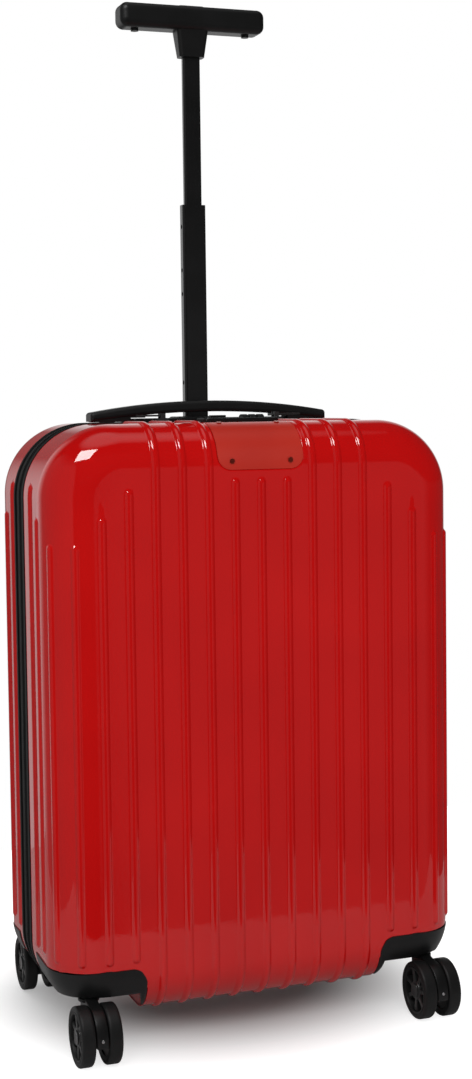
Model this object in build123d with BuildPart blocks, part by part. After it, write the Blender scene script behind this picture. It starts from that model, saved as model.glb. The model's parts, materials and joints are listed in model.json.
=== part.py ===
"""Hard shell cabin suitcase on four twin-wheel casters, with a single-pole telescopic handle.

Millimetres. +Z is up, the front faces -Y, and the origin is on the floor under the middle of the case.
"""

import math
import os

from build123d import *

# Case body
BODY_WIDTH = 370.0
BODY_DEPTH = 196.0
SHELL_BOTTOM = 31.0
SHELL_TOP = 529.0
TOP_CORNER = 63.0
BOTTOM_CORNER = 50.0
EDGE_RADIUS = 38.0
WALL = 2.3
LID_RIM_Y = -6.0
REAR_RIM_Y = 22.0
GAP = 0.35
RUNNING = 0.05

# Raised ribs, counted outwards from the middle of the face
RIB_RADIUS = 4.06
RIB_HEIGHT = 2.0
RIB_RIM_ROOM = 8.0
RIB_GUARD_ROOM = 7.0
RIB_LAST = 10
RIB_LAST_SIDE_RUN = 26.21
RIB_TOP_DROPS = {0: 46.5, 1: 46.5, 5: 53.5, 6: 76.0, 7: 97.5, 8: 97.5, 9: 76.5, 10: 50.5}
RIBS_OVER_TOP = (2, 3, 4)
RIBS_UNDER = 4

# Name plate on the lid's top edge
PLATE_HALF_WIDTH = 38.5
PLATE_BOTTOM = 489.5
PLATE_BACK_Y = -60.0
PLATE_CORNER = 12.0
PLATE_SINK = 1.0
PLATE_THICK = 0.65
RIVET_X = 26.3
RIVET_Z = 496.9
RIVET_TOP_Y = -66.0
RIVET_RADIUS = 1.2
RIVET_HEAD_RADIUS = 2.2
RIVET_HEAD = 0.6

# Casters
STEM_SIDE_INSET = 31.0
STEM_INSET = 17.0
TRAIL = 21.0
WHEEL_RADIUS = 25.0
WHEEL_WIDTH = 12.0
WHEEL_ROUND = 2.5
WHEEL_SIDE_GAP = 0.5
WHEEL_DISH = 1.6
WHEEL_DISH_RADIUS = 18.0
BLADE_THICK = 10.0
BLADE_RADIUS = 20.5
NECK_RADIUS = 9.0
NECK_SINK = 1.2
ARM_ROUND = 5.0
AXLE_RADIUS = 3.0
PIN_RADIUS = 4.0
PIN_ABOVE_AXLE = 6.0
SWING_ROOM = 50.5

# Wheel wells and corner guards
WELL_CEILING = 56.4
GUARD_PLATE = 3.0
GUARD_SKIN = 3.0
GUARD_LOW = 52.0
GUARD_TOP = 75.5
GUARD_RISE = 7.0
GUARD_REACH = 77.0
GUARD_SIDE_Y = 37.0
GUARD_ROUND = 14.0
BOSS_RADIUS = 8.0
BOSS_HEIGHT = 14.0
BOSS_CAP = 2.0
SCREW_RADIUS = 1.5
SCREW_HEAD_RADIUS = 3.5
SCREW_HEAD = 2.4
SCREW_OFFSET = 19.0

# Zip
TAPE_THICK = 1.0
TAPE_TUCK = 5.5
TAPE_SINK = 0.6
COIL_WIDTH = 2.8
COIL_PROUD = 0.4
SLIDER_X = 54.0
SLIDER_LENGTH = 12.0
SLIDER_WIDTH = 11.0
SLIDER_HEIGHT = 3.0
SLIDER_ROUND = 2.5
CHEEK_LENGTH = 4.4
CHEEK_THICK = 1.5
CHEEK_HEIGHT = 4.4
PULL_PIN_RADIUS = 1.0
PULL_WIDTH = 5.0
PULL_LENGTH = 24.0
PULL_THICK = 1.6
PULL_ROUND = 1.8
PULL_EYE_RADIUS = 2.1

# Lock on the lid's top
LOCK_X0 = -30.0
LOCK_X1 = 40.0
LOCK_Y = -27.0
LOCK_WIDTH = 26.0
LOCK_FLANGE = 3.6
PLAN_ROUND = 5.0
TOP_ROUND = 1.2
LOCK_DEPTH = 17.0
LOCK_STEP = 2.5
DIAL_RADIUS = 6.0
DIAL_WIDTH = 6.0
DIAL_ROUND = 0.6
DIAL_PITCH = 7.5
DIAL_X = 18.0
DIAL_COUNT = 3
DIAL_AXIS_Z = SHELL_TOP + 0.5
SHAFT_RADIUS = 1.5
SHAFT_SEAT = 4.0
LOCK_BUTTON_X = -14.0
LOCK_BUTTON_SIZE = (14.0, 9.0, 2.0)
LOCK_BUTTON_ROUND = 2.0

# Carry handle on the rear shell's top
HANDLE_Y = 40.0
HANDLE_INSET = 72.0
HANDLE_WIDTH = 21.0
HANDLE_ROUND = 3.2
GRIP_TOP = 548.0
GRIP_THICK = 10.0
GRIP_END_TOP = 538.0
GRIP_END_BOTTOM = 530.2
BASE_INSET = 38.0
BASE_WIDTH = 18.0
BASE_HEIGHT = 3.2
LEG_INSET = 17.0
LEG_SIZE = (12.0, 8.0)
LEG_SINK = 2.6
LEG_BOTTOM = 500.0
SOCKET_WALL = 4.0
SOCKET_BOTTOM = 490.0
STRIP_INSET = 9.0
STRIP_WIDTH = 10.0
STRIP_THICK = 1.2
STRIP_DEPTH = 5.0
STRIP_END_RISE = 1.0
STRIP_PLAY = 0.15

# Telescopic handle
POLE_Y = 74.6
BAR_TOP = 909.5
BAR_HEIGHT = 22.0
NECK_HEIGHT = 23.5
UPPER_SHOWN = 135.0
BAR_HALF = 69.5
BAR_DEPTH = 27.0
BAR_ROUND = 7.0
NECK_LOW = (24.0, 14.0)
NECK_HIGH = (31.0, 20.0)
NECK_ROUND = 4.0
TUBE_ROUND = 2.5
MIDDLE_SIZE = (22.5, 11.0)
MIDDLE_WALL = 1.2
MIDDLE_LENGTH = 440.0
UPPER_SIZE = (16.6, 7.6)
UPPER_WALL = 1.1
UPPER_LENGTH = 425.0
UPPER_SEAT = 14.0
GUIDE_PLAY = 1.0
GUIDE_WALL = 1.5
GUIDE_BOTTOM = 47.0
SLIDE_GAP = 0.3
COLLAR_LENGTH = 15.0
BUSH_LENGTH = 16.0
PLUG_LENGTH = 14.0
PLUG_SPIGOT = 12.0
LOCK_HOLE_DROPS = (20.0, 60.0, 82.0, 164.0)
LOCK_HOLE_RADIUS = 2.0
FOOT_WIDTH = 60.0
FOOT_TOP = 62.0
FOOT_WALL = 3.0
ROD_RADIUS = 2.0
ROD_PLAY = 0.4
ROD_BELOW_PLUG = 5.0
BUTTON_SIZE = (25.0, 11.0)
BUTTON_PROUD = 1.0
BUTTON_HEIGHT = 5.5
BUTTON_TRAVEL = 3.0
BUTTON_PLAN_ROUND = 3.0
BUTTON_TOP_ROUND = 0.8
STUD_X = 53.6
STUD_RADIUS = 3.5
STUD_HEIGHT = 2.2

# Bezel of the telescopic handle
BEZEL_HALF = 75.0
BEZEL_FRONT_Y = 57.0
BEZEL_BOTTOM = 497.0
BEZEL_PROUD = 0.8
BEZEL_SKIN = 3.0
BLOCK_HALF = 24.0
BLOCK_BACK_Y = 91.5
BLOCK_BOTTOM = 481.0
COLLAR_TOP = 533.5
COLLAR_HALF = 22.0
COLLAR_DEPTH = 26.0
COLLAR_ROUND = 2.4
WELL_SIZE = (33.0, 21.0)
WELL_FLOOR = 507.0

# Linings
LINING_THICK = 0.8
LINING_BACK_Y = 56.0
LINING_TOP = 478.0

# Sizes that follow from the ones above
HALF_WIDTH = BODY_WIDTH / 2
HALF_DEPTH = BODY_DEPTH / 2
BODY_MID_Z = (SHELL_BOTTOM + SHELL_TOP) / 2
BODY_HEIGHT = SHELL_TOP - SHELL_BOTTOM
RIB_SINK = RIB_RADIUS - RIB_HEIGHT
STEM_Y = HALF_DEPTH - STEM_INSET
ZIP_Y = (LID_RIM_Y + REAR_RIM_Y) / 2
RIB_BEND_RUN = EDGE_RADIUS * math.pi / 2
RIB_PITCH = (HALF_WIDTH - EDGE_RADIUS + RIB_BEND_RUN + RIB_LAST_SIDE_RUN) / RIB_LAST
STEM_X = HALF_WIDTH - STEM_SIDE_INSET
WELL_X = STEM_X - SWING_ROOM
WELL_Y = STEM_Y - SWING_ROOM
GUARD_INNER_X = HALF_WIDTH - GUARD_REACH
HANDLE_HALF = HALF_WIDTH - HANDLE_INSET
BASE_HALF = HANDLE_HALF - BASE_INSET
LEG_X = HANDLE_HALF - LEG_INSET
STRIP_HALF = HANDLE_HALF - STRIP_INSET
BAR_BOTTOM = BAR_TOP - BAR_HEIGHT
NECK_BOTTOM = BAR_BOTTOM - NECK_HEIGHT
STAGE_TOP = NECK_BOTTOM - UPPER_SHOWN
FAR = BODY_WIDTH + BODY_DEPTH
SKY = BAR_TOP + BODY_HEIGHT
FRONT = -1
REAR = 1
LEFT = -1
RIGHT = 1
SIDE_NAMES = {LEFT: "left", RIGHT: "right"}
END_NAMES = {FRONT: "front", REAR: "rear"}
RIM_Y = {FRONT: LID_RIM_Y, REAR: REAR_RIM_Y}
RISING = (Align.CENTER, Align.CENTER, Align.MIN)


def keep(piece, name):
    """Label a finished piece and write it."""
    piece.part.label = name
    export_step(piece.part, f"parts/{name}.step")


def facing(end, y):
    """Upright plane at y whose normal points to the front or to the rear."""
    return Plane(origin=(0, y, 0), x_dir=(-end, 0, 0), z_dir=(0, end, 0))


def block(x0, x1, y0, y1, z0, z1):
    """Plain box between two corners."""
    with BuildPart() as box:
        with Locations(((x0 + x1) / 2, (y0 + y1) / 2, (z0 + z1) / 2)):
            Box(abs(x1 - x0), abs(y1 - y0), abs(z1 - z0))
    return box.part


def outline_prism(end, y, inset, depth):
    """Front view of the case, shrunk by inset and run back from y, with tighter corners at the bottom."""
    with BuildPart() as prism:
        with BuildSketch(facing(end, y)) as outline:
            with Locations((0, BODY_MID_Z)):
                Rectangle(BODY_WIDTH - 2 * inset, BODY_HEIGHT - 2 * inset)
            fillet(outline.vertices().group_by(Axis.Y)[0], BOTTOM_CORNER - inset)
            fillet(outline.vertices().group_by(Axis.Y)[-1], TOP_CORNER - inset)
        extrude(amount=depth)
    return prism.part


def tray_form(end, inset, rim_y=None):
    """Solid half of the case, shrunk by inset, with its outer edge rounded."""
    rim = RIM_Y[end] if rim_y is None else rim_y
    with BuildPart() as form:
        add(outline_prism(end, rim, inset, HALF_DEPTH - end * rim - inset))
        outer_face = form.faces().sort_by(Axis.Y)[0 if end == FRONT else -1]
        fillet(outer_face.edges(), EDGE_RADIUS - inset)
    return form.part


def rim_ring(y0, y1, outer_inset, inner_inset):
    """Flat ring that follows the case's outline from y0 to y1."""
    with BuildPart() as ring:
        add(outline_prism(REAR, y0, outer_inset, y1 - y0))
        add(outline_prism(REAR, y0, inner_inset, y1 - y0), mode=Mode.SUBTRACT)
    return ring.part


def wheel_wells(end, grow):
    """Room for the two casters of one end, grown by a wall."""
    with BuildPart() as wells:
        for side in (LEFT, RIGHT):
            x0 = side * (WELL_X - grow)
            y0 = end * (WELL_Y - grow)
            add(block(x0, side * FAR, y0, end * FAR, -FAR, WELL_CEILING + grow))
    return wells.part


def rib_place(index, end):
    """Middle of a rib's round section, a pitch apart along the case's outline."""
    run = RIB_PITCH * index
    flat = HALF_WIDTH - EDGE_RADIUS
    bend = RIB_BEND_RUN
    reach = EDGE_RADIUS - RIB_SINK
    if run <= flat:
        return run, end * (HALF_DEPTH - RIB_SINK)
    if run <= flat + bend:
        turn = (run - flat) / EDGE_RADIUS
        return flat + reach * math.sin(turn), end * (HALF_DEPTH - EDGE_RADIUS + reach * math.cos(turn))
    return HALF_WIDTH - RIB_SINK, end * (HALF_DEPTH - EDGE_RADIUS - (run - flat - bend))


def guard_edge(depth):
    """Height of a guard's upper edge, which rises from the front face towards the zip."""
    return GUARD_TOP + GUARD_RISE * (HALF_DEPTH - depth) / (HALF_DEPTH - GUARD_SIDE_Y)


def straight_rib(x, y, low, high):
    """Upright bead with round ends."""
    with BuildPart(Plane((x, y, low))) as rib:
        Cylinder(RIB_RADIUS, high - low, align=RISING)
        with Locations((0, 0, 0), (0, 0, high - low)):
            Sphere(RIB_RADIUS)
    return rib.part


def wrapped_rib(x, points):
    """Bead that follows the face and turns round the top or bottom edge."""
    with BuildPart() as rib:
        with BuildLine(Plane.YZ.offset(x)) as route:
            FilletPolyline(*points, radius=EDGE_RADIUS - RIB_SINK)
        with BuildSketch(Plane(origin=route.line @ 0, z_dir=route.line % 0)):
            Circle(RIB_RADIUS)
        sweep()
        with Locations(route.line @ 0, route.line @ 1):
            Sphere(RIB_RADIUS)
    return rib.part


def ribs(end):
    """All beads of one shell."""
    face_y = end * (HALF_DEPTH - RIB_SINK)
    rim = RIM_Y[end] + end * RIB_RIM_ROOM
    under = SHELL_BOTTOM + RIB_SINK
    beads = []
    for index in range(RIBS_UNDER + 1):
        over_top = end == FRONT and index in RIBS_OVER_TOP
        if over_top:
            points = [(rim, SHELL_TOP - RIB_SINK), (face_y, SHELL_TOP - RIB_SINK)]
        else:
            drop = RIB_TOP_DROPS.get(index, RIB_TOP_DROPS[0])
            points = [(face_y, SHELL_TOP - drop - RIB_RADIUS)]
        points += [(face_y, under), (rim, under)]
        for side in (LEFT, RIGHT) if index else (RIGHT,):
            beads.append(wrapped_rib(side * RIB_PITCH * index, points))
    for index in range(RIBS_UNDER + 1, RIB_LAST + 1):
        x, y = rib_place(index, end)
        low = guard_edge(min(abs(y), HALF_DEPTH)) + RIB_GUARD_ROOM
        if abs(y) < GUARD_SIDE_Y + 2 * RIB_RADIUS:
            low = SHELL_BOTTOM + BOTTOM_CORNER + RIB_RADIUS
        for side in (LEFT, RIGHT):
            high = SHELL_TOP - RIB_TOP_DROPS[index] - RIB_RADIUS
            beads.append(straight_rib(side * x, y, low, high))
    return beads


def guard_zone(side, end, grow):
    """Space that one corner guard covers."""
    with BuildPart() as zone:
        with BuildSketch(Plane.YZ.offset(GUARD_INNER_X - grow)):
            with BuildLine():
                low = GUARD_LOW - grow
                y0 = GUARD_SIDE_Y - grow
                y1 = HALF_DEPTH + EDGE_RADIUS
                high0, high1 = guard_edge(y0) + grow, guard_edge(y1) + grow
                Polyline((-y0, low), (-y1, low), (-y1, high1), (-y0, high0), close=True)
            make_face()
        extrude(amount=HALF_WIDTH)
        inner_top = zone.edges().group_by(Axis.X)[0].sort_by(Axis.Z)[-1]
        fillet(inner_top, GUARD_ROUND + grow)
    with BuildPart() as placed:
        if end == FRONT and side == RIGHT:
            add(zone.part)
        elif end == FRONT:
            mirror(zone.part, about=Plane.YZ)
        elif side == RIGHT:
            mirror(zone.part, about=Plane.XZ)
        else:
            mirror(mirror(zone.part, about=Plane.XZ, mode=Mode.PRIVATE), about=Plane.YZ)
    return placed.part


def plate_zone(grow):
    """Space over the lid's top edge that the name plate covers."""
    with BuildPart() as zone:
        with BuildSketch(facing(FRONT, PLATE_BACK_Y + grow)):
            low = PLATE_BOTTOM - grow
            with Locations((0, (low + SKY) / 2)):
                Rectangle(2 * (PLATE_HALF_WIDTH + grow), SKY - low)
        extrude(amount=FAR)
        low_edges = zone.edges().filter_by(Axis.Y).group_by(Axis.Z)[0]
        fillet(low_edges, PLATE_CORNER + grow)
    return zone.part


def rivet_spots():
    """Planes of the plate's rivets, each with its normal out of the shell."""
    lean = math.asin((-RIVET_TOP_Y - HALF_DEPTH + EDGE_RADIUS) / EDGE_RADIUS)
    top_z = SHELL_TOP - EDGE_RADIUS * (1 - math.cos(lean))
    spots = []
    for side in (LEFT, RIGHT):
        x = side * RIVET_X
        spots.append(Plane(origin=(x, -HALF_DEPTH, RIVET_Z), z_dir=(0, -1, 0)))
        spots.append(Plane(origin=(x, RIVET_TOP_Y, top_z), z_dir=(0, -math.sin(lean), math.cos(lean))))
    return spots


def guard_screw_places(side, end):
    """Two screws beside the caster's boss."""
    x, y = side * STEM_X, end * STEM_Y
    return [(x - side * SCREW_OFFSET, y), (x - side * SCREW_OFFSET, y - end * 2 * SCREW_OFFSET)]


def pole_box(size, grow, z0, z1, round_radius=TUBE_ROUND):
    """Upright rounded bar on the pole's axis."""
    with BuildPart() as bar:
        with BuildSketch(Plane((0, POLE_Y, z0))):
            RectangleRounded(size[0] + 2 * grow, size[1] + 2 * grow, max(round_radius + grow, GAP))
        extrude(amount=z1 - z0)
    return bar.part


def carry_leg(side, grow, z0, z1):
    """Upright leg of the carry grip, or the room for it."""
    half_x, half_y = LEG_SIZE[0] / 2 + grow, LEG_SIZE[1] / 2 + grow
    x = side * LEG_X
    return block(x - half_x, x + half_x, HANDLE_Y - half_y, HANDLE_Y + half_y, z0, z1)


def bowed_bar(half, width, end_low, end_high, mid_low, mid_high):
    """Bar along X, bowed upwards, with square ends."""
    with BuildPart() as bar:
        with BuildSketch(facing(FRONT, HANDLE_Y)):
            with BuildLine():
                ThreePointArc((-half, end_high), (0, mid_high), (half, end_high))
                Line((half, end_high), (half, end_low))
                ThreePointArc((half, end_low), (0, mid_low), (-half, end_low))
                Line((-half, end_low), (-half, end_high))
            make_face()
        extrude(amount=width / 2, both=True)
    return bar.part


def lock_body(grow):
    """Part of the lock that goes down through the lid."""
    half = LOCK_WIDTH / 2 - LOCK_STEP + grow
    x0, x1 = LOCK_X0 + LOCK_STEP - grow, LOCK_X1 - LOCK_STEP + grow
    return block(x0, x1, LOCK_Y - half, LOCK_Y + half, SHELL_TOP - LOCK_DEPTH - grow, SHELL_TOP + LOCK_FLANGE)


def shell(end):
    """One ribbed half of the case, with its wheel wells and cut-outs."""
    with BuildPart() as cavity:
        add(tray_form(end, WALL))
        add(wheel_wells(end, WALL), mode=Mode.SUBTRACT)
    with BuildPart() as notches:
        for side in (LEFT, RIGHT):
            add(guard_zone(side, end, GAP))
        add(tray_form(end, GUARD_SKIN + GAP), mode=Mode.SUBTRACT)
    with BuildPart() as half:
        add(tray_form(end, 0))
        add(ribs(end))
        add(wheel_wells(end, 0), mode=Mode.SUBTRACT)
        add(cavity.part, mode=Mode.SUBTRACT)
        add(notches.part, mode=Mode.SUBTRACT)
        for side in (LEFT, RIGHT):
            with Locations((side * STEM_X, end * STEM_Y, WELL_CEILING)):
                Cylinder(BOSS_RADIUS + GAP, BOSS_HEIGHT, mode=Mode.SUBTRACT)
            with Locations(*((x, y, WELL_CEILING) for x, y in guard_screw_places(side, end))):
                Cylinder(SCREW_RADIUS + GAP, BOSS_HEIGHT, mode=Mode.SUBTRACT)
    return half


def front_shell():
    lid = shell(FRONT)
    with BuildPart() as pocket:
        add(plate_zone(GAP))
        add(tray_form(FRONT, PLATE_SINK), mode=Mode.SUBTRACT)
    with BuildPart() as finished:
        add(lid.part)
        add(pocket.part, mode=Mode.SUBTRACT)
        add(lock_body(GAP), mode=Mode.SUBTRACT)
        for spot in rivet_spots():
            with Locations(spot):
                Cylinder(RIVET_RADIUS + RUNNING, 4 * WALL, mode=Mode.SUBTRACT)
    keep(finished, "front_shell")


def rear_shell():
    half = shell(REAR)
    with BuildPart() as finished:
        add(half.part)
        window = BEZEL_HALF + GAP
        room = block(-window, window, BEZEL_FRONT_Y - GAP, FAR, BEZEL_BOTTOM - GAP, SKY)
        add(room, mode=Mode.SUBTRACT)
        for side in (LEFT, RIGHT):
            add(carry_leg(side, GAP, SHELL_TOP - 2 * WALL, SHELL_TOP + WALL), mode=Mode.SUBTRACT)
    keep(finished, "rear_shell")


def name_plate():
    with BuildPart() as plate:
        add(plate_zone(0))
        add(tray_form(FRONT, PLATE_SINK - GAP), mode=Mode.SUBTRACT)
        add(tray_form(FRONT, PLATE_SINK - GAP - PLATE_THICK), mode=Mode.INTERSECT)
        for spot in rivet_spots():
            with Locations(spot):
                Cylinder(RIVET_RADIUS + RUNNING, 4 * WALL, mode=Mode.SUBTRACT)
    keep(plate, "name_plate")
    with BuildPart() as rivets:
        for spot in rivet_spots():
            seat = GAP / 2
            with Locations(spot.offset(-WALL)):
                Cylinder(RIVET_RADIUS, WALL + seat, align=RISING)
            with Locations(spot.offset(seat)):
                Cylinder(RIVET_HEAD_RADIUS, RIVET_HEAD, align=RISING)
    keep(rivets, "plate_rivets")


def corner_guard(side, end):
    """Skin over a bottom corner, with the caster's socket behind it."""
    plate_low = WELL_CEILING - GAP - GUARD_PLATE
    with BuildPart() as ceiling:
        add(tray_form(end, GUARD_SKIN / 2))
        x0, y0 = side * (WELL_X + GAP), end * (WELL_Y + GAP)
        slab = block(x0, side * FAR, y0, end * FAR, plate_low, plate_low + GUARD_PLATE)
        add(slab, mode=Mode.INTERSECT)
    with BuildPart() as guard:
        add(guard_zone(side, end, 0))
        add(tray_form(end, 0), mode=Mode.INTERSECT)
        add(tray_form(end, GUARD_SKIN), mode=Mode.SUBTRACT)
        add(ceiling.part)
        with Locations((side * STEM_X, end * STEM_Y, plate_low)):
            Cylinder(BOSS_RADIUS, GUARD_PLATE + BOSS_HEIGHT, align=RISING)
            bore = GUARD_PLATE + BOSS_HEIGHT - BOSS_CAP
            Cylinder(PIN_RADIUS + RUNNING, bore, align=RISING, mode=Mode.SUBTRACT)
        with Locations((side * STEM_X, end * STEM_Y, plate_low)):
            under = (Align.CENTER, Align.CENTER, Align.MAX)
            Cylinder(NECK_RADIUS + 2 * GAP, GUARD_TOP, align=under, mode=Mode.SUBTRACT)
        with Locations(*((x, y, plate_low) for x, y in guard_screw_places(side, end))):
            Cylinder(SCREW_RADIUS + RUNNING, FAR / 2, mode=Mode.SUBTRACT)
    keep(guard, f"guard_{END_NAMES[end]}_{SIDE_NAMES[side]}")


def guard_screws(end):
    with BuildPart() as screws:
        under_head = WELL_CEILING + WALL
        shank = under_head - (WELL_CEILING - GAP - GUARD_PLATE)
        for side in (LEFT, RIGHT):
            with Locations(*((x, y, under_head) for x, y in guard_screw_places(side, end))):
                Cylinder(SCREW_HEAD_RADIUS, SCREW_HEAD, align=RISING)
            with Locations(*((x, y, under_head - shank) for x, y in guard_screw_places(side, end))):
                Cylinder(SCREW_RADIUS, shank, align=RISING)
    keep(screws, f"guard_screws_{END_NAMES[end]}")


def caster(side, end):
    """Fork, swivel pin, axle and twin wheels, trailing away from the middle of the case."""
    name = f"{END_NAMES[end]}_{SIDE_NAMES[side]}"
    stem_x, stem_y = side * STEM_X, end * STEM_Y
    axle_y = stem_y + end * TRAIL
    fork_top = WELL_CEILING - GUARD_PLATE - 2 * GAP
    neck_low = 2 * WHEEL_RADIUS - NECK_SINK
    wheel_x = BLADE_THICK / 2 + WHEEL_SIDE_GAP + WHEEL_WIDTH / 2
    axle_half = BLADE_THICK / 2 + WHEEL_SIDE_GAP + WHEEL_WIDTH - WHEEL_DISH
    across = Plane(origin=(stem_x, axle_y, WHEEL_RADIUS), x_dir=(0, 1, 0), z_dir=(1, 0, 0))
    pin_low = WHEEL_RADIUS + AXLE_RADIUS + PIN_ABOVE_AXLE

    with BuildPart() as fork:
        with BuildSketch(across):
            Circle(BLADE_RADIUS)
            reach = TRAIL + NECK_RADIUS
            height = GUARD_LOW - 2 * GAP - WHEEL_RADIUS
            with Locations((-end * reach / 2, height / 2)):
                Rectangle(reach, height)
        extrude(amount=BLADE_THICK / 2, both=True)
        low_back = fork.edges().filter_by(Axis.X).sort_by(Axis.Z)[0]
        fillet(low_back, ARM_ROUND)
        with Locations((stem_x, stem_y, neck_low)):
            Cylinder(NECK_RADIUS, fork_top - neck_low, align=RISING)
        with Locations((stem_x, stem_y, pin_low)):
            Cylinder(PIN_RADIUS, fork_top, align=RISING, mode=Mode.SUBTRACT)
        with Locations(across):
            Cylinder(AXLE_RADIUS, BLADE_THICK * 2, mode=Mode.SUBTRACT)
    keep(fork, f"caster_fork_{name}")

    with BuildPart(Plane((stem_x, stem_y, pin_low))) as pin:
        boss_end = WELL_CEILING - GAP + BOSS_HEIGHT - BOSS_CAP
        Cylinder(PIN_RADIUS, boss_end - GAP - pin_low, align=RISING)
    keep(pin, f"swivel_pin_{name}")

    with BuildPart(across) as axle:
        Cylinder(AXLE_RADIUS, 2 * axle_half)
    keep(axle, f"axle_{name}")

    for wheel_side in (LEFT, RIGHT):
        hub = across.offset(wheel_side * wheel_x)
        with BuildPart(hub) as wheel:
            Cylinder(WHEEL_RADIUS, WHEEL_WIDTH)
            fillet(wheel.edges().filter_by(GeomType.CIRCLE), WHEEL_ROUND)
            with Locations((0, 0, wheel_side * WHEEL_WIDTH / 2)):
                Cylinder(WHEEL_DISH_RADIUS, 2 * WHEEL_DISH, mode=Mode.SUBTRACT)
            Cylinder(AXLE_RADIUS + RUNNING, WHEEL_WIDTH * 2, mode=Mode.SUBTRACT)
        keep(wheel, f"wheel_{name}_{'outer' if wheel_side == side else 'inner'}")


def zip_tape(end):
    """Half of the zip: a flat tape tucked under the shell's rim, with its row of teeth."""
    rim = RIM_Y[end]
    edge = ZIP_Y + end * GAP / 2
    tucked = WALL + GAP
    with BuildPart() as tape:
        spans = [
            (rim + end * TAPE_TUCK, edge, tucked, tucked + TAPE_THICK),
            (rim - end * GAP, edge, TAPE_SINK, tucked + TAPE_THICK),
            (edge + end * COIL_WIDTH, edge, -COIL_PROUD, TAPE_SINK + TAPE_THICK),
        ]
        for y0, y1, outer, inner in spans:
            add(rim_ring(min(y0, y1), max(y0, y1), outer, inner))
    keep(tape, f"zip_tape_{END_NAMES[end]}")


def zip_slider(side):
    """Slider on the zip's top run, and its pull tab lying outwards."""
    x = side * SLIDER_X
    base_z = SHELL_TOP + COIL_PROUD + GAP
    pin_z = base_z + SLIDER_HEIGHT + CHEEK_HEIGHT - PULL_EYE_RADIUS
    cheek_y = PULL_WIDTH / 2 + GAP + CHEEK_THICK / 2
    with BuildPart(Plane((x, ZIP_Y, base_z))) as slider:
        Box(SLIDER_LENGTH, SLIDER_WIDTH, SLIDER_HEIGHT, align=RISING)
        fillet(slider.edges().filter_by(Axis.Z), SLIDER_ROUND)
        with Locations((0, -cheek_y, SLIDER_HEIGHT), (0, cheek_y, SLIDER_HEIGHT)):
            Box(CHEEK_LENGTH, CHEEK_THICK, CHEEK_HEIGHT, align=RISING)
        with Locations(Plane(origin=(0, 0, pin_z - base_z), z_dir=(0, 1, 0))):
            Cylinder(PULL_PIN_RADIUS, 2 * cheek_y)
    keep(slider, f"zip_slider_{SIDE_NAMES[side]}")

    turn = Plane(origin=(x, ZIP_Y, pin_z), x_dir=(side, 0, 0), z_dir=(0, 1, 0))
    with BuildPart() as pull:
        with BuildSketch(turn):
            Circle(PULL_EYE_RADIUS)
            with Locations((PULL_LENGTH / 2, 0)):
                Rectangle(PULL_LENGTH, PULL_THICK)
            Circle(PULL_PIN_RADIUS + RUNNING, mode=Mode.SUBTRACT)
        extrude(amount=PULL_WIDTH / 2, both=True)
        tip = pull.edges().filter_by(Axis.Z).group_by(Axis.X)[-1 if side == RIGHT else 0]
        fillet(tip, PULL_ROUND)
    keep(pull, f"zip_pull_{SIDE_NAMES[side]}")


def lock():
    """Combination lock: housing, shaft, dials and release button."""
    seat = SHELL_TOP + GAP
    flange_top = SHELL_TOP + LOCK_FLANGE
    shaft_half = DIAL_COUNT * DIAL_PITCH / 2 + SHAFT_SEAT
    along = Plane(origin=(DIAL_X, LOCK_Y, DIAL_AXIS_Z), z_dir=(1, 0, 0))
    pocket_half_x = DIAL_COUNT * DIAL_PITCH / 2
    pocket_half_y = DIAL_RADIUS + 2 * GAP
    with BuildPart() as housing:
        half = LOCK_WIDTH / 2
        add(block(LOCK_X0, LOCK_X1, LOCK_Y - half, LOCK_Y + half, seat, flange_top))
        fillet(housing.edges().filter_by(Axis.Z), PLAN_ROUND)
        fillet(housing.faces().sort_by(Axis.Z)[-1].edges(), TOP_ROUND)
        add(lock_body(0))
        well = block(
            DIAL_X - pocket_half_x,
            DIAL_X + pocket_half_x,
            LOCK_Y - pocket_half_y,
            LOCK_Y + pocket_half_y,
            DIAL_AXIS_Z - pocket_half_y,
            SKY,
        )
        add(well, mode=Mode.SUBTRACT)
        with Locations(along):
            Cylinder(SHAFT_RADIUS, 2 * shaft_half, mode=Mode.SUBTRACT)
    keep(housing, "lock_housing")

    with BuildPart(along) as shaft:
        Cylinder(SHAFT_RADIUS, 2 * shaft_half)
    keep(shaft, "dial_shaft")

    for number in range(DIAL_COUNT):
        place = along.offset((number - (DIAL_COUNT - 1) / 2) * DIAL_PITCH)
        with BuildPart(place) as dial:
            Cylinder(DIAL_RADIUS, DIAL_WIDTH)
            fillet(dial.edges().filter_by(GeomType.CIRCLE), DIAL_ROUND)
            Cylinder(SHAFT_RADIUS + RUNNING, DIAL_WIDTH * 2, mode=Mode.SUBTRACT)
        keep(dial, f"lock_dial_{number + 1}")

    with BuildPart(Plane((LOCK_BUTTON_X, LOCK_Y, flange_top + GAP))) as button:
        Box(*LOCK_BUTTON_SIZE, align=RISING)
        fillet(button.edges().filter_by(Axis.Z), LOCK_BUTTON_ROUND)
        fillet(button.faces().sort_by(Axis.Z)[-1].edges(), DIAL_ROUND)
    keep(button, "lock_button")


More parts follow.
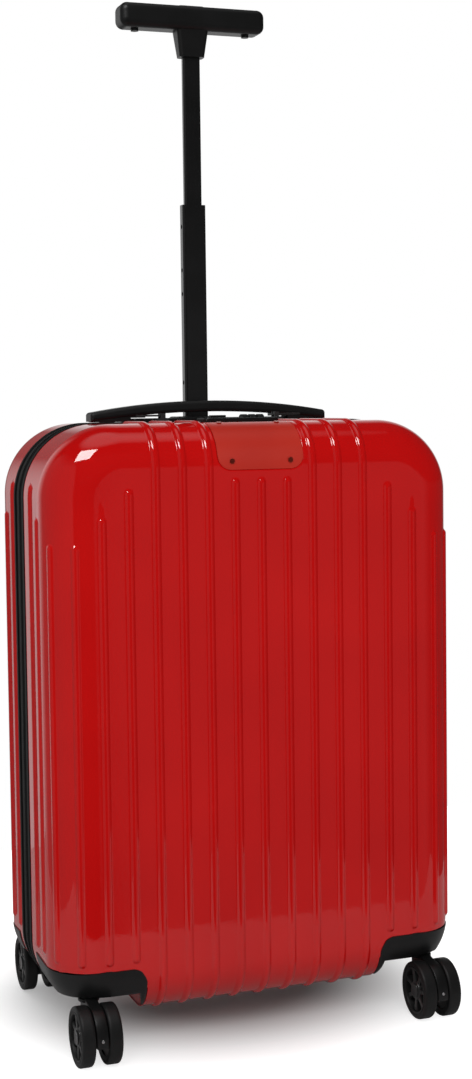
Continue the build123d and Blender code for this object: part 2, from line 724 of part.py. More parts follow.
def carry_handle():
    """Base and leg sockets on the rear shell, and the bowed grip with its steel strip."""
    with BuildPart(Plane((0, HANDLE_Y, SHELL_TOP + GAP))) as base:
        Box(2 * BASE_HALF, BASE_WIDTH, BASE_HEIGHT, align=RISING)
        fillet(base.edges().filter_by(Axis.Z), PLAN_ROUND)
        fillet(base.faces().sort_by(Axis.Z)[-1].edges(), TOP_ROUND)
    keep(base, "handle_base")

    with BuildPart() as sockets:
        for side in (LEFT, RIGHT):
            add(carry_leg(side, SOCKET_WALL, SOCKET_BOTTOM, SHELL_TOP - WALL - GAP))
            add(carry_leg(side, GAP, SOCKET_BOTTOM - 1, SHELL_TOP), mode=Mode.SUBTRACT)
    keep(sockets, "handle_sockets")

    strip_mid = GRIP_TOP - STRIP_DEPTH
    strip_end = (GRIP_END_TOP + GRIP_END_BOTTOM) / 2 + STRIP_END_RISE
    half_thick = STRIP_THICK / 2
    play = STRIP_PLAY
    with BuildPart() as grip:
        add(bowed_bar(HANDLE_HALF, HANDLE_WIDTH, GRIP_END_BOTTOM, GRIP_END_TOP, GRIP_TOP - GRIP_THICK, GRIP_TOP))
        fillet(grip.edges().filter_by(Axis.Y).group_by(Axis.X)[0].sort_by(Axis.Z)[-1], HANDLE_ROUND)
        fillet(grip.edges().filter_by(Axis.Y).group_by(Axis.X)[-1].sort_by(Axis.Z)[-1], HANDLE_ROUND)
        bows = grip.edges().filter_by(GeomType.CIRCLE).filter_by(lambda edge: edge.length > HANDLE_HALF)
        fillet(bows, HANDLE_ROUND)
        for side in (LEFT, RIGHT):
            add(carry_leg(side, 0, LEG_BOTTOM, GRIP_END_BOTTOM + LEG_SINK))
        slot = bowed_bar(
            STRIP_HALF + play,
            STRIP_WIDTH + 2 * play,
            strip_end - half_thick - play,
            strip_end + half_thick + play,
            strip_mid - half_thick - play,
            strip_mid + half_thick + play,
        )
        add(slot, mode=Mode.SUBTRACT)
    keep(grip, "carry_grip")

    with BuildPart() as strip:
        ends = (strip_end - half_thick, strip_end + half_thick)
        add(bowed_bar(STRIP_HALF, STRIP_WIDTH, *ends, strip_mid - half_thick, strip_mid + half_thick))
    keep(strip, "grip_strip")


def bezel():
    """Moulded surround of the telescopic handle, in a window of the rear shell."""
    with BuildPart() as core:
        add(tray_form(REAR, -BEZEL_PROUD / 2))
        inner = block(-BLOCK_HALF, BLOCK_HALF, BEZEL_FRONT_Y, BLOCK_BACK_Y, BLOCK_BOTTOM, SKY)
        add(inner, mode=Mode.INTERSECT)
    with BuildPart() as surround:
        add(tray_form(REAR, -BEZEL_PROUD))
        add(tray_form(REAR, BEZEL_SKIN - BEZEL_PROUD), mode=Mode.SUBTRACT)
        window = block(-BEZEL_HALF, BEZEL_HALF, BEZEL_FRONT_Y, FAR, BEZEL_BOTTOM, SKY)
        add(window, mode=Mode.INTERSECT)
        add(core.part)
        with Locations((0, POLE_Y, SHELL_TOP - EDGE_RADIUS / 2)):
            collar_height = COLLAR_TOP - SHELL_TOP + EDGE_RADIUS / 2
            Box(2 * COLLAR_HALF, COLLAR_DEPTH, collar_height, align=RISING)
        top_face = surround.faces().filter_by(Axis.Z).sort_by(Axis.Z)[-1]
        fillet(top_face.edges(), COLLAR_ROUND)
        add(pole_box(WELL_SIZE, 0, WELL_FLOOR, COLLAR_TOP + 1, PLAN_ROUND), mode=Mode.SUBTRACT)
        add(pole_box(MIDDLE_SIZE, SLIDE_GAP, BLOCK_BOTTOM - 1, WELL_FLOOR + 1), mode=Mode.SUBTRACT)
    keep(surround, "handle_bezel")


def guide():
    """Fixed tube inside the rear shell, and the foot that it stands in."""
    room = GUIDE_PLAY + GUIDE_WALL
    tube_top = BLOCK_BOTTOM - GAP
    with BuildPart() as tube:
        add(pole_box(MIDDLE_SIZE, room, GUIDE_BOTTOM, tube_top))
        add(pole_box(MIDDLE_SIZE, GUIDE_PLAY, GUIDE_BOTTOM - 1, tube_top + 1), mode=Mode.SUBTRACT)
    keep(tube, "guide_tube")

    half_y = MIDDLE_SIZE[1] / 2 + room + FOOT_WALL
    with BuildPart() as foot:
        add(tray_form(REAR, WALL + GAP))
        half = FOOT_WIDTH / 2
        seat = block(-half, half, POLE_Y - half_y, POLE_Y + half_y, SHELL_BOTTOM, FOOT_TOP)
        add(seat, mode=Mode.INTERSECT)
        add(pole_box(MIDDLE_SIZE, room + GAP, GUIDE_BOTTOM - GAP, FOOT_TOP + 1), mode=Mode.SUBTRACT)
    keep(foot, "guide_foot")


def middle_stage():
    """Lower visible tube of the handle, with its top collar and bottom bush."""
    bottom = STAGE_TOP - MIDDLE_LENGTH
    with BuildPart() as tube:
        add(pole_box(MIDDLE_SIZE, 0, bottom, STAGE_TOP))
        add(pole_box(MIDDLE_SIZE, -MIDDLE_WALL, bottom - 1, STAGE_TOP + 1), mode=Mode.SUBTRACT)
        for drop in LOCK_HOLE_DROPS:
            with Locations(Plane(origin=(-MIDDLE_SIZE[0] / 2, POLE_Y, STAGE_TOP - drop), z_dir=(1, 0, 0))):
                Cylinder(LOCK_HOLE_RADIUS, 4 * MIDDLE_WALL, mode=Mode.SUBTRACT)
    keep(tube, "middle_tube")

    with BuildPart() as collar:
        add(pole_box(MIDDLE_SIZE, -MIDDLE_WALL, STAGE_TOP - COLLAR_LENGTH, STAGE_TOP))
        add(pole_box(UPPER_SIZE, SLIDE_GAP, bottom, STAGE_TOP + 1), mode=Mode.SUBTRACT)
    keep(collar, "middle_collar")

    with BuildPart() as bush:
        add(pole_box(MIDDLE_SIZE, GUIDE_PLAY - SLIDE_GAP, bottom, bottom + BUSH_LENGTH))
        add(pole_box(MIDDLE_SIZE, 0, bottom - 1, bottom + BUSH_LENGTH + 1), mode=Mode.SUBTRACT)
    keep(bush, "middle_bush")


def upper_stage():
    """Upper tube with its plug, the T grip on top and the studs under the grip."""
    top = NECK_BOTTOM + UPPER_SEAT
    bottom = NECK_BOTTOM - UPPER_LENGTH
    with BuildPart() as tube:
        add(pole_box(UPPER_SIZE, 0, bottom, top))
        add(pole_box(UPPER_SIZE, -UPPER_WALL, bottom - 1, top + 1), mode=Mode.SUBTRACT)
    keep(tube, "upper_tube")

    with BuildPart() as plug:
        add(pole_box(MIDDLE_SIZE, -MIDDLE_WALL - SLIDE_GAP, bottom - PLUG_LENGTH, bottom))
        add(pole_box(UPPER_SIZE, -UPPER_WALL - RUNNING, bottom, bottom + PLUG_SPIGOT))
        with Locations((0, POLE_Y, bottom)):
            Cylinder(ROD_RADIUS + ROD_PLAY, 4 * PLUG_LENGTH, mode=Mode.SUBTRACT)
    keep(plug, "upper_plug")

    pocket_floor = BAR_TOP + BUTTON_PROUD - BUTTON_HEIGHT - BUTTON_TRAVEL - GAP
    with BuildPart() as grip:
        mid_z = (BAR_BOTTOM + BAR_TOP) / 2
        with Locations((0, POLE_Y, mid_z)):
            Box(2 * BAR_HALF, BAR_DEPTH, BAR_TOP - BAR_BOTTOM)
        fillet(grip.edges(), BAR_ROUND)
        with BuildSketch(Plane((0, POLE_Y, NECK_BOTTOM))):
            RectangleRounded(*NECK_LOW, NECK_ROUND)
        with BuildSketch(Plane((0, POLE_Y, BAR_BOTTOM + BAR_ROUND / 2))):
            RectangleRounded(*NECK_HIGH, NECK_ROUND)
        loft()
        add(pole_box(UPPER_SIZE, RUNNING, NECK_BOTTOM - 1, top + GAP), mode=Mode.SUBTRACT)
        add(pole_box(BUTTON_SIZE, GAP, pocket_floor, BAR_TOP + 1, BUTTON_PLAN_ROUND), mode=Mode.SUBTRACT)
        with Locations((0, POLE_Y, NECK_BOTTOM)):
            rod_room = pocket_floor + 1 - NECK_BOTTOM
            Cylinder(ROD_RADIUS + ROD_PLAY, rod_room, align=RISING, mode=Mode.SUBTRACT)
    keep(grip, "t_grip")

    with BuildPart() as studs:
        with Locations((-STUD_X, POLE_Y, BAR_BOTTOM), (STUD_X, POLE_Y, BAR_BOTTOM)):
            Cylinder(STUD_RADIUS, STUD_HEIGHT, align=(Align.CENTER, Align.CENTER, Align.MAX))
    keep(studs, "t_studs")

    button_top = BAR_TOP + BUTTON_PROUD
    with BuildPart() as button:
        add(pole_box(BUTTON_SIZE, 0, button_top - BUTTON_HEIGHT, button_top, BUTTON_PLAN_ROUND))
        fillet(button.faces().sort_by(Axis.Z)[-1].edges(), BUTTON_TOP_ROUND)
    keep(button, "t_button")

    rod_low = bottom - PLUG_LENGTH + ROD_BELOW_PLUG
    with BuildPart(Plane((0, POLE_Y, rod_low))) as rod:
        Cylinder(ROD_RADIUS, button_top - BUTTON_HEIGHT - rod_low, align=RISING)
    keep(rod, "release_rod")


def lid_lining():
    """Cloth tray inside the lid, notched round the lock."""
    rim = LID_RIM_Y - TAPE_TUCK - GAP
    outer = WALL + GAP
    with BuildPart() as room:
        add(tray_form(FRONT, outer + LINING_THICK, rim))
        add(wheel_wells(FRONT, outer + LINING_THICK), mode=Mode.SUBTRACT)
    with BuildPart() as lining:
        add(tray_form(FRONT, outer, rim))
        add(wheel_wells(FRONT, outer), mode=Mode.SUBTRACT)
        add(room.part, mode=Mode.SUBTRACT)
        add(lock_body(3 * GAP), mode=Mode.SUBTRACT)
        for side in (LEFT, RIGHT):
            add(guard_zone(side, FRONT, 2 * GAP), mode=Mode.SUBTRACT)
        for spot in rivet_spots():
            with Locations(spot):
                Cylinder(RIVET_RADIUS + GAP, 6 * WALL, mode=Mode.SUBTRACT)
    keep(lining, "lining_front")


def rear_lining():
    """Cloth tray inside the rear shell, with a flat back in front of the guide tube."""
    rim = REAR_RIM_Y + TAPE_TUCK + GAP
    outer = WALL + GAP
    low = SHELL_BOTTOM + outer

    def tray(inset, back):
        with BuildPart() as form:
            with BuildSketch(facing(REAR, rim)):
                with Locations((0, (low + LINING_TOP) / 2)):
                    width = BODY_WIDTH - 2 * (outer + inset)
                    height = LINING_TOP - low - 2 * inset
                    RectangleRounded(width, height, BOTTOM_CORNER - outer - inset)
            extrude(amount=back - rim)
            add(wheel_wells(REAR, outer + inset), mode=Mode.SUBTRACT)
        return form.part

    with BuildPart() as lining:
        add(tray(0, LINING_BACK_Y))
        add(tray(LINING_THICK, LINING_BACK_Y - LINING_THICK), mode=Mode.SUBTRACT)
        for side in (LEFT, RIGHT):
            add(guard_zone(side, REAR, 2 * GAP), mode=Mode.SUBTRACT)
    keep(lining, "lining_rear")


os.makedirs("parts", exist_ok=True)
front_shell()
rear_shell()
name_plate()
for corner_end in (FRONT, REAR):
    zip_tape(corner_end)
    guard_screws(corner_end)
    for corner_side in (LEFT, RIGHT):
        corner_guard(corner_side, corner_end)
        caster(corner_side, corner_end)
for corner_side in (LEFT, RIGHT):
    zip_slider(corner_side)
lock()
carry_handle()
bezel()
guide()
middle_stage()
upper_stage()
lid_lining()
rear_lining()
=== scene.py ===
"""Looks of the red hard shell suitcase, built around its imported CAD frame.

The case is written in millimetres; the camera, the stage and the finishes are in metres.
"""
import json
import math

import bmesh
import bpy
import numpy as np
from mathutils import Matrix, Vector


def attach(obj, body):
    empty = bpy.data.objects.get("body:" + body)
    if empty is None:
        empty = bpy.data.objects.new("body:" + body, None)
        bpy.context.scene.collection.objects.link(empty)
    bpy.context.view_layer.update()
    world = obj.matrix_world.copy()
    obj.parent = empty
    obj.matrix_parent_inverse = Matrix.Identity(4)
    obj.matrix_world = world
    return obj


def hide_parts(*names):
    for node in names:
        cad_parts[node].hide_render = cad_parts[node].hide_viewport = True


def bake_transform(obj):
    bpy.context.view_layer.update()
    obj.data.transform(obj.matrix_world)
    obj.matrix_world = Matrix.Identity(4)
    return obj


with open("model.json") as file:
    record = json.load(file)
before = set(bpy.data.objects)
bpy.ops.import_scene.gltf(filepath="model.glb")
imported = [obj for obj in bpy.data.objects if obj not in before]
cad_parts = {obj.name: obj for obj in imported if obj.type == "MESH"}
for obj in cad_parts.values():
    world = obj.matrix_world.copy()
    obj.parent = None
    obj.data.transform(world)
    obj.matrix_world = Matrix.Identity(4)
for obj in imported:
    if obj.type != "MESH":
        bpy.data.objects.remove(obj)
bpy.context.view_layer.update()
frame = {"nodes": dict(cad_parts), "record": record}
MM = 0.001

# Camera, solved from the photograph's perspective
PHOTO_SIZE = (472, 1079)
FOCAL_PX = 1714.32
CAMERA_TURN = math.radians(19.5)
CAMERA_TILT = math.radians(3.56)
CAMERA_ROLL = math.radians(-0.74)
CAMERA_PLACE = (-0.5123, -1.44893, 0.5453)
PRINCIPAL = (224.13, 509.87)
SENSOR = 36.0


def make_camera():
    """Camera with the photograph's frame, place and turn."""
    data = bpy.data.cameras.new("camera")
    data.sensor_width = SENSOR
    long_side = max(PHOTO_SIZE)
    data.lens = FOCAL_PX / long_side * SENSOR
    data.shift_x = (PHOTO_SIZE[0] / 2 - PRINCIPAL[0]) / long_side
    data.shift_y = (PRINCIPAL[1] - PHOTO_SIZE[1] / 2) / long_side
    look = Vector(
        (
            math.sin(CAMERA_TURN) * math.cos(CAMERA_TILT),
            math.cos(CAMERA_TURN) * math.cos(CAMERA_TILT),
            -math.sin(CAMERA_TILT),
        )
    )
    level = Vector((math.cos(CAMERA_TURN), -math.sin(CAMERA_TURN), 0))
    up = level.cross(look)
    right = math.cos(CAMERA_ROLL) * level + math.sin(CAMERA_ROLL) * up
    up = math.cos(CAMERA_ROLL) * up - math.sin(CAMERA_ROLL) * level
    camera = bpy.data.objects.new("camera", data)
    bpy.context.scene.collection.objects.link(camera)
    turn = Matrix((right, up, -look)).transposed().to_4x4()
    camera.matrix_world = Matrix.Translation(CAMERA_PLACE) @ turn
    bpy.context.scene.camera = camera


class Nodes:
    """Small helper that adds nodes to one material and links them."""

    def __init__(self, name):
        self.material = bpy.data.materials.new(name)
        self.material.use_nodes = True
        self.tree = self.material.node_tree
        self.shader = self.tree.nodes["Principled BSDF"]

    def add(self, kind, **values):
        node = self.tree.nodes.new(kind)
        for key, value in values.items():
            if key in node.inputs:
                node.inputs[key].default_value = value
            else:
                setattr(node, key, value)
        return node

    def link(self, source, target):
        self.tree.links.new(source, target)

    def coords(self):
        return self.add("ShaderNodeTexCoord").outputs["Object"]

    def noise(self, scale, detail=3.0, stretch=None):
        node = self.add("ShaderNodeTexNoise", Scale=scale, Detail=detail)
        where = self.coords()
        if stretch:
            mapping = self.add("ShaderNodeMapping")
            mapping.inputs["Scale"].default_value = stretch
            self.link(where, mapping.inputs["Vector"])
            where = mapping.outputs["Vector"]
        self.link(where, node.inputs["Vector"])
        return node.outputs["Fac"]

    def ramp(self, fac, low, high, start=0.0, stop=1.0):
        node = self.add("ShaderNodeValToRGB")
        first, last = node.color_ramp.elements
        first.position, last.position = start, stop
        first.color = low if len(low) == 4 else (*low, 1)
        last.color = high if len(high) == 4 else (*high, 1)
        self.link(fac, node.inputs["Fac"])
        return node.outputs["Color"]

    def spread(self, fac, low, high):
        node = self.add("ShaderNodeMapRange")
        node.inputs["To Min"].default_value = low
        node.inputs["To Max"].default_value = high
        self.link(fac, node.inputs["Value"])
        return node.outputs["Result"]

    def bump(self, height, distance, strength=1.0, below=None):
        node = self.add("ShaderNodeBump")
        node.inputs["Distance"].default_value = distance
        node.inputs["Strength"].default_value = strength
        self.link(height, node.inputs["Height"])
        if below is not None:
            self.link(below, node.inputs["Normal"])
        return node.outputs["Normal"]

    def set(self, **values):
        for key, value in values.items():
            self.shader.inputs[key.replace("_", " ")].default_value = value

    def wire(self, **sources):
        for key, source in sources.items():
            self.link(source, self.shader.inputs[key.replace("_", " ")])


def red_shell():
    n = Nodes("red_polycarbonate")
    cloud = n.noise(9.0, 2.0)
    peel = n.noise(330.0, 1.0)
    fine = n.noise(2600.0, 2.0)
    n.wire(Base_Color=n.ramp(cloud, (0.47, 0.003, 0.003), (0.53, 0.0045, 0.004), 0.3, 0.7))
    n.wire(Roughness=n.spread(fine, 0.018, 0.045))
    n.wire(Normal=n.bump(peel, 0.00002))
    n.set(IOR=1.58)
    return n.material


def satin_black(name, shade, rough_low, rough_high, grain, depth, gloss=0.36):
    n = Nodes(name)
    n.set(Specular_IOR_Level=gloss)
    cloud = n.noise(30.0, 3.0)
    texture = n.noise(grain, 2.0)
    low = (shade * 0.85,) * 3
    high = (shade * 1.15, shade * 1.15, shade * 1.17)
    n.wire(Base_Color=n.ramp(cloud, low, high, 0.35, 0.65))
    n.wire(Roughness=n.spread(texture, rough_low, rough_high))
    n.wire(Normal=n.bump(texture, depth))
    return n.material


def steel(name, dark, pale):
    n = Nodes(name)
    brushed = n.noise(400.0, 3.0, (1.0, 1.0, 14.0))
    n.wire(Base_Color=n.ramp(brushed, dark, pale))
    n.wire(Roughness=n.spread(brushed, 0.2, 0.36))
    n.wire(Normal=n.bump(brushed, 0.00002))
    n.set(Metallic=1.0)
    return n.material


def plate_finish():
    n = Nodes("plate_red")
    n.set(Specular_IOR_Level=0.35)
    grain = n.noise(1800.0, 2.0)
    cloud = n.noise(14.0, 2.0)
    n.wire(Base_Color=n.ramp(cloud, (0.42, 0.016, 0.007), (0.48, 0.022, 0.010), 0.3, 0.7))
    n.wire(Roughness=n.spread(grain, 0.28, 0.4))
    n.wire(Normal=n.bump(grain, 0.00002))
    return n.material


def woven(name, dark, pale, threads, depth, sheen=0.25):
    """Plain weave: upright and level threads of slightly uneven thickness."""
    n = Nodes(name)
    upright = n.noise(threads, 1.0, (1.0, 1.0, 0.06))
    level = n.noise(threads, 1.0, (0.06, 0.06, 1.0))
    weave = n.add("ShaderNodeMath", operation="MAXIMUM")
    n.link(upright, weave.inputs[0])
    n.link(level, weave.inputs[1])
    n.wire(Base_Color=n.ramp(weave.outputs[0], dark, pale, 0.35, 0.75))
    n.wire(Normal=n.bump(weave.outputs[0], depth))
    n.set(Roughness=0.85, Sheen_Weight=sheen, Sheen_Roughness=0.5, Specular_IOR_Level=0.15)
    return n.material


MATERIALS = {
    "red_shell": red_shell(),
    "plate": plate_finish(),
    "steel": steel("steel", (0.52, 0.52, 0.53), (0.68, 0.68, 0.69)),
    "rivet": steel("red_rivet", (0.5, 0.06, 0.04), (0.62, 0.09, 0.06)),
    "lining": woven("lining_cloth", (0.018, 0.018, 0.02), (0.05, 0.05, 0.055), 900.0, 0.0002),
    "zip_cloth": woven("zip_cloth", (0.002, 0.002, 0.002), (0.008, 0.008, 0.008), 1200.0, 0.0002, 0.02),
    "zip_metal": satin_black("zip_metal", 0.02, 0.25, 0.4, 900.0, 0.00002),
    "black_tube": satin_black("black_tube", 0.006, 0.13, 0.22, 1500.0, 0.00001, 0.6),
    "wheel_rubber": satin_black("wheel_rubber", 0.006, 0.45, 0.62, 700.0, 0.00005),
    "soft_black": satin_black("soft_black", 0.008, 0.38, 0.52, 900.0, 0.00005),
    "black_plastic": satin_black("black_plastic", 0.005, 0.32, 0.46, 1100.0, 0.00004),
    "hub_plastic": satin_black("hub_plastic", 0.014, 0.26, 0.4, 1100.0, 0.00003, 0.6),
    "piping": satin_black("piping", 0.003, 0.5, 0.65, 900.0, 0.00002, 0.1),
    "zip_teeth": satin_black("zip_teeth", 0.003, 0.45, 0.6, 1500.0, 0.00001, 0.15),
}
OWN_FINISH = {"plate_rivets": "rivet"}


def dress_cad_nodes():
    """Gives each CAD node the finish of its slot, or its own."""
    slots = {s["node"]: s["material_slot"] for s in frame["record"]["subparts"]}
    for name, node in frame["nodes"].items():
        node.data.materials.clear()
        node.data.materials.append(MATERIALS[OWN_FINISH.get(name, slots[name])])


# Case form, with the sizes of the CAD source
FRONT, REAR = -1, 1
LEFT, RIGHT = -1, 1
END_NAMES = {FRONT: "front", REAR: "rear"}
SIDE_NAMES = {LEFT: "left", RIGHT: "right"}
SHELL_BODY = {FRONT: "lid", REAR: "rear_case"}
WHEEL_PLACES = ("outer", "inner")
HALF_WIDTH, HALF_DEPTH = 185.0, 98.0
SHELL_BOTTOM, SHELL_TOP = 31.0, 529.0
TOP_CORNER, BOTTOM_CORNER, EDGE = 63.0, 50.0, 38.0
WALL = 2.3
RIM_DEPTH = {FRONT: 6.0, REAR: 22.0}
QUARTER = EDGE * math.pi / 4
BEND = 2 * QUARTER
FLAT_S = HALF_WIDTH - EDGE
FACE_TOP, FACE_LOW = SHELL_TOP - EDGE, SHELL_BOTTOM + EDGE
FACE_S = FLAT_S + QUARTER
FACE_W = (FACE_LOW - QUARTER, FACE_TOP + QUARTER)
MID_W = (SHELL_BOTTOM + SHELL_TOP) / 2
CORNER_LOW, CORNER_HIGH = SHELL_BOTTOM + BOTTOM_CORNER, SHELL_TOP - TOP_CORNER
CORNER_W = (FACE_W[0], FACE_LOW, CORNER_LOW, CORNER_HIGH, FACE_TOP, FACE_W[1])

# Ribs; the drops and lows give where a rib ends, by its number from the middle
RIB_COUNT, RIB_STOP = 11, 8.0
RIB_PITCH, RIB_RADIUS, RIB_SINK, RIB_BASE = 23.29, 4.06, 2.06, 1.6
RIB_DROPS = {0: 46.5, 1: 46.5, 5: 53.5, 6: 76.0, 7: 97.5, 8: 97.5, 9: 76.5, 10: 50.5}
RIB_LOWS = {5: 82.7, 6: 82.7, 7: 83.1, 8: 84.7, 9: 87.2, 10: 85.1}
RIBS_OVER_TOP = (2, 3, 4)
RIB_STEPS = (0.0, 0.7, 1.4, 2.1, 2.7, 3.2, 3.65, 4.05, 4.32, 5.0)
RIB_END_BANDS = ((77.5, 92.0), (426.5, 433.0), (447.0, 454.0), (470.0, 483.5))
RIB_END_STEP = 1.0

# Spacing of the shells' mesh lines
SHELL_S_STEP, SHELL_W_STEP, CORNER_STEP = 4.5, 24.0, 2.0
LEAST_STEP, SEAM_ROOM = 0.12, 0.3

# Name plate's recess
PLATE_HALF, PLATE_LOW, PLATE_DEPTH, PLATE_ROUND, PLATE_SINK = 38.85, 489.15, 59.65, 12.35, 1.0
PLATE_BLEND = 1.3
PLATE_EDGE_STEPS = (-1.6, -0.7, -0.35, 0.0, 0.35, 0.7, 1.6)
PLATE_CORNER_S, PLATE_CORNER_W, PLATE_CORNER_STEP = 26.0, 13.0, 0.9

# Wheel wells
WELL_X, WELL_Q, WELL_TOP = 106.5, 30.5, 56.4
WELL_INSET, WELL_LINE = 1.2, 110.0
WELL_ARC_POINTS, WELL_RIM_POINTS, PIN_HOLE_POINTS = 14, 28, 17
CEILING_LOW, CEILING_DROP = 53.05, 2.0
STEM_X, STEM_Q, PIN_ROOM = 154.0, 81.0, 4.6

# Guards; the leg is a table of places from the inner edge and of the lower edge's heights there,
# and that edge climbs towards the zip
GUARD_X, GUARD_LOW, GUARD_TOP, GUARD_ROUND = 106.9, 51.4, 77.5, 14.0
GUARD_Q = {FRONT: 24.0, REAR: 38.0}
GUARD_PROUD, GUARD_BACK, GUARD_LIP = 0.9, 2.6, 1.6
GUARD_LEG = ((0.5, 2.7, 4.0, 5.2), (36.0, 41.0, 45.0, GUARD_LOW))
CLIMB_START, CLIMB_RISE, CLIMB_POWER = 64.0, 7.0, 1.3
GUARD_S_STEP, GUARD_SHARE_STEP = 3.5, 0.08
GUARD_NEAR = (0.0, 0.25, 0.6, 1.1, 1.7, 2.6, 3.4, 4.0, 4.6, 5.2, 6.0, 8.5, 11.0, GUARD_ROUND)
GUARD_FAR = GUARD_NEAR[:7]
GUARD_SHARES = (0, 0.01, 0.025, 0.045, 0.07, 0.11, 0.5, 0.89, 0.93, 0.955, 0.975, 0.99, 1)
W_TRY = np.arange(28.0, 110.0, 0.25)

# Cuts in the shells: under the guards, and for the lock, the bezel and the carry handle's legs
GUARD_OVERLAP = 3.0
UNDER_X, UNDER_Q, UNDER_TOP = 118.0, 62.0, GUARD_TOP - GUARD_OVERLAP
LOCK_CUT_X, LOCK_CUT_Q = (-27.85, 37.85), (16.15, 37.85)
BEZEL_CUT_X, BEZEL_CUT_Q, BEZEL_CUT_Z = 75.35, 56.65, 496.65
LEG_CUT_X, LEG_CUT_Q = (89.65, 102.35), (35.65, 44.35)
ROOF_Z = 500.0


def skin(s, w, end):
    """Points and normals of the case's smooth outside.

    s runs round the case from the middle of a face, w runs up the face.
    Both go on over the edges to the rim.
    """
    s, w = np.broadcast_arrays(np.asarray(s, float), np.asarray(w, float))
    upper = w >= MID_W
    sign_x = np.where(s < 0, -1.0, 1.0)
    sign_z = np.where(upper, 1.0, -1.0)
    corner = np.where(upper, TOP_CORNER, BOTTOM_CORNER)
    core = corner - EDGE
    span = core + QUARTER
    centre_x = HALF_WIDTH - corner
    centre_z = np.where(upper, SHELL_TOP - corner, SHELL_BOTTOM + corner)
    a = np.abs(s) - centre_x
    b = sign_z * (w - centre_z)
    a_in, b_in = np.clip(a, 0, span), np.clip(b, 0, span)
    phi = np.arctan2(b_in, a_in)
    fold = np.minimum(phi, math.pi / 2 - phi)
    rho_edge = core + EDGE * np.arctan(1 / np.cos(fold))
    rho = np.maximum(a_in, b_in) / span * rho_edge
    beyond = np.maximum(np.maximum(a, b) - span, 0)
    rho = rho + (core + BEND - rho_edge) * np.minimum(beyond / QUARTER, 1) * (beyond > 0)
    wall = np.maximum(beyond - QUARTER, 0)
    theta = np.clip((rho - core) / EDGE, 0, math.pi / 2)
    reach = np.minimum(rho, core) + EDGE * np.sin(theta)
    x = np.where(a > 0, sign_x * (centre_x + reach * np.cos(phi)), s)
    z = np.where(b > 0, centre_z + sign_z * reach * np.sin(phi), w)
    q = HALF_DEPTH - EDGE * (1 - np.cos(theta)) - wall
    normal_x = sign_x * np.sin(theta) * np.cos(phi)
    normal_z = sign_z * np.sin(theta) * np.sin(phi)
    normal = np.stack([normal_x, end * np.cos(theta), normal_z], -1)
    return np.stack([x, end * q, z], -1), normal


def bead(distance):
    """Height of a rib's section, with a hollow round at its foot."""
    foot = math.sqrt((RIB_RADIUS + RIB_BASE) ** 2 - (RIB_SINK + RIB_BASE) ** 2)
    change = foot * RIB_RADIUS / (RIB_RADIUS + RIB_BASE)
    d = np.abs(distance)
    crown = np.sqrt(np.maximum(RIB_RADIUS**2 - d**2, 0)) - RIB_SINK
    hollow = RIB_BASE - np.sqrt(np.maximum(RIB_BASE**2 - np.maximum(foot - d, 0) ** 2, 0))
    return np.where(d < change, crown, np.where(d < foot, hollow, 0.0))


def rib_lines(end):
    """(s, low w, high w) of each rib's middle line."""
    wrap = BEND + HALF_DEPTH - EDGE - RIM_DEPTH[end] - RIB_STOP
    lines = []
    for index in range(RIB_COUNT):
        high = SHELL_TOP - RIB_DROPS.get(index, RIB_DROPS[0]) - RIB_RADIUS
        if index in RIBS_OVER_TOP and end == FRONT:
            high = FACE_TOP + wrap
        low = RIB_LOWS.get(index, FACE_LOW - wrap)
        for side in (LEFT, RIGHT) if index else (RIGHT,):
            lines.append((side * index * RIB_PITCH, low, high))
    return lines


def rounded_box_distance(x, z, half_x, low, radius):
    """Distance from a slot that is open at its top, below zero inside."""
    dx = np.abs(x) - (half_x - radius)
    dz = (low + radius) - z
    outside = np.hypot(np.maximum(dx, 0), np.maximum(dz, 0))
    return outside + np.minimum(np.maximum(dx, dz), 0) - radius


def shell_height(s, w, end):
    """How far the shell stands above its smooth form."""
    height = np.zeros(np.broadcast(s, w).shape)
    for line_s, low, high in rib_lines(end):
        gap = np.maximum(np.maximum(low - w, w - high), 0)
        height = np.maximum(height, bead(np.hypot(s - line_s, gap)))
    if end == FRONT:
        distance = rounded_box_distance(s, w, PLATE_HALF, PLATE_LOW, PLATE_ROUND)
        back = w - (FACE_TOP + BEND + HALF_DEPTH - EDGE - PLATE_DEPTH)
        distance = np.maximum(distance, back)
        step = np.clip(0.5 - distance / PLATE_BLEND, 0, 1)
        height = height * (1 - step) - PLATE_SINK * step * step * (3 - 2 * step)
    return height


def filled(values, gap):
    """Sorted values with more put in where two are further apart than gap."""
    values = sorted(set(round(v, 4) for v in values))
    merged = [values[0]]
    for v in values[1:]:
        if v - merged[-1] < LEAST_STEP:
            continue
        count = max(1, math.ceil((v - merged[-1]) / gap))
        start = merged[-1]
        merged += [start + (v - start) * i / count for i in range(1, count + 1)]
    return merged


def mirrored(half):
    """Lines on both sides of the middle, from those on the right that start at 0."""
    return np.array([-s for s in reversed(half[1:])] + half)


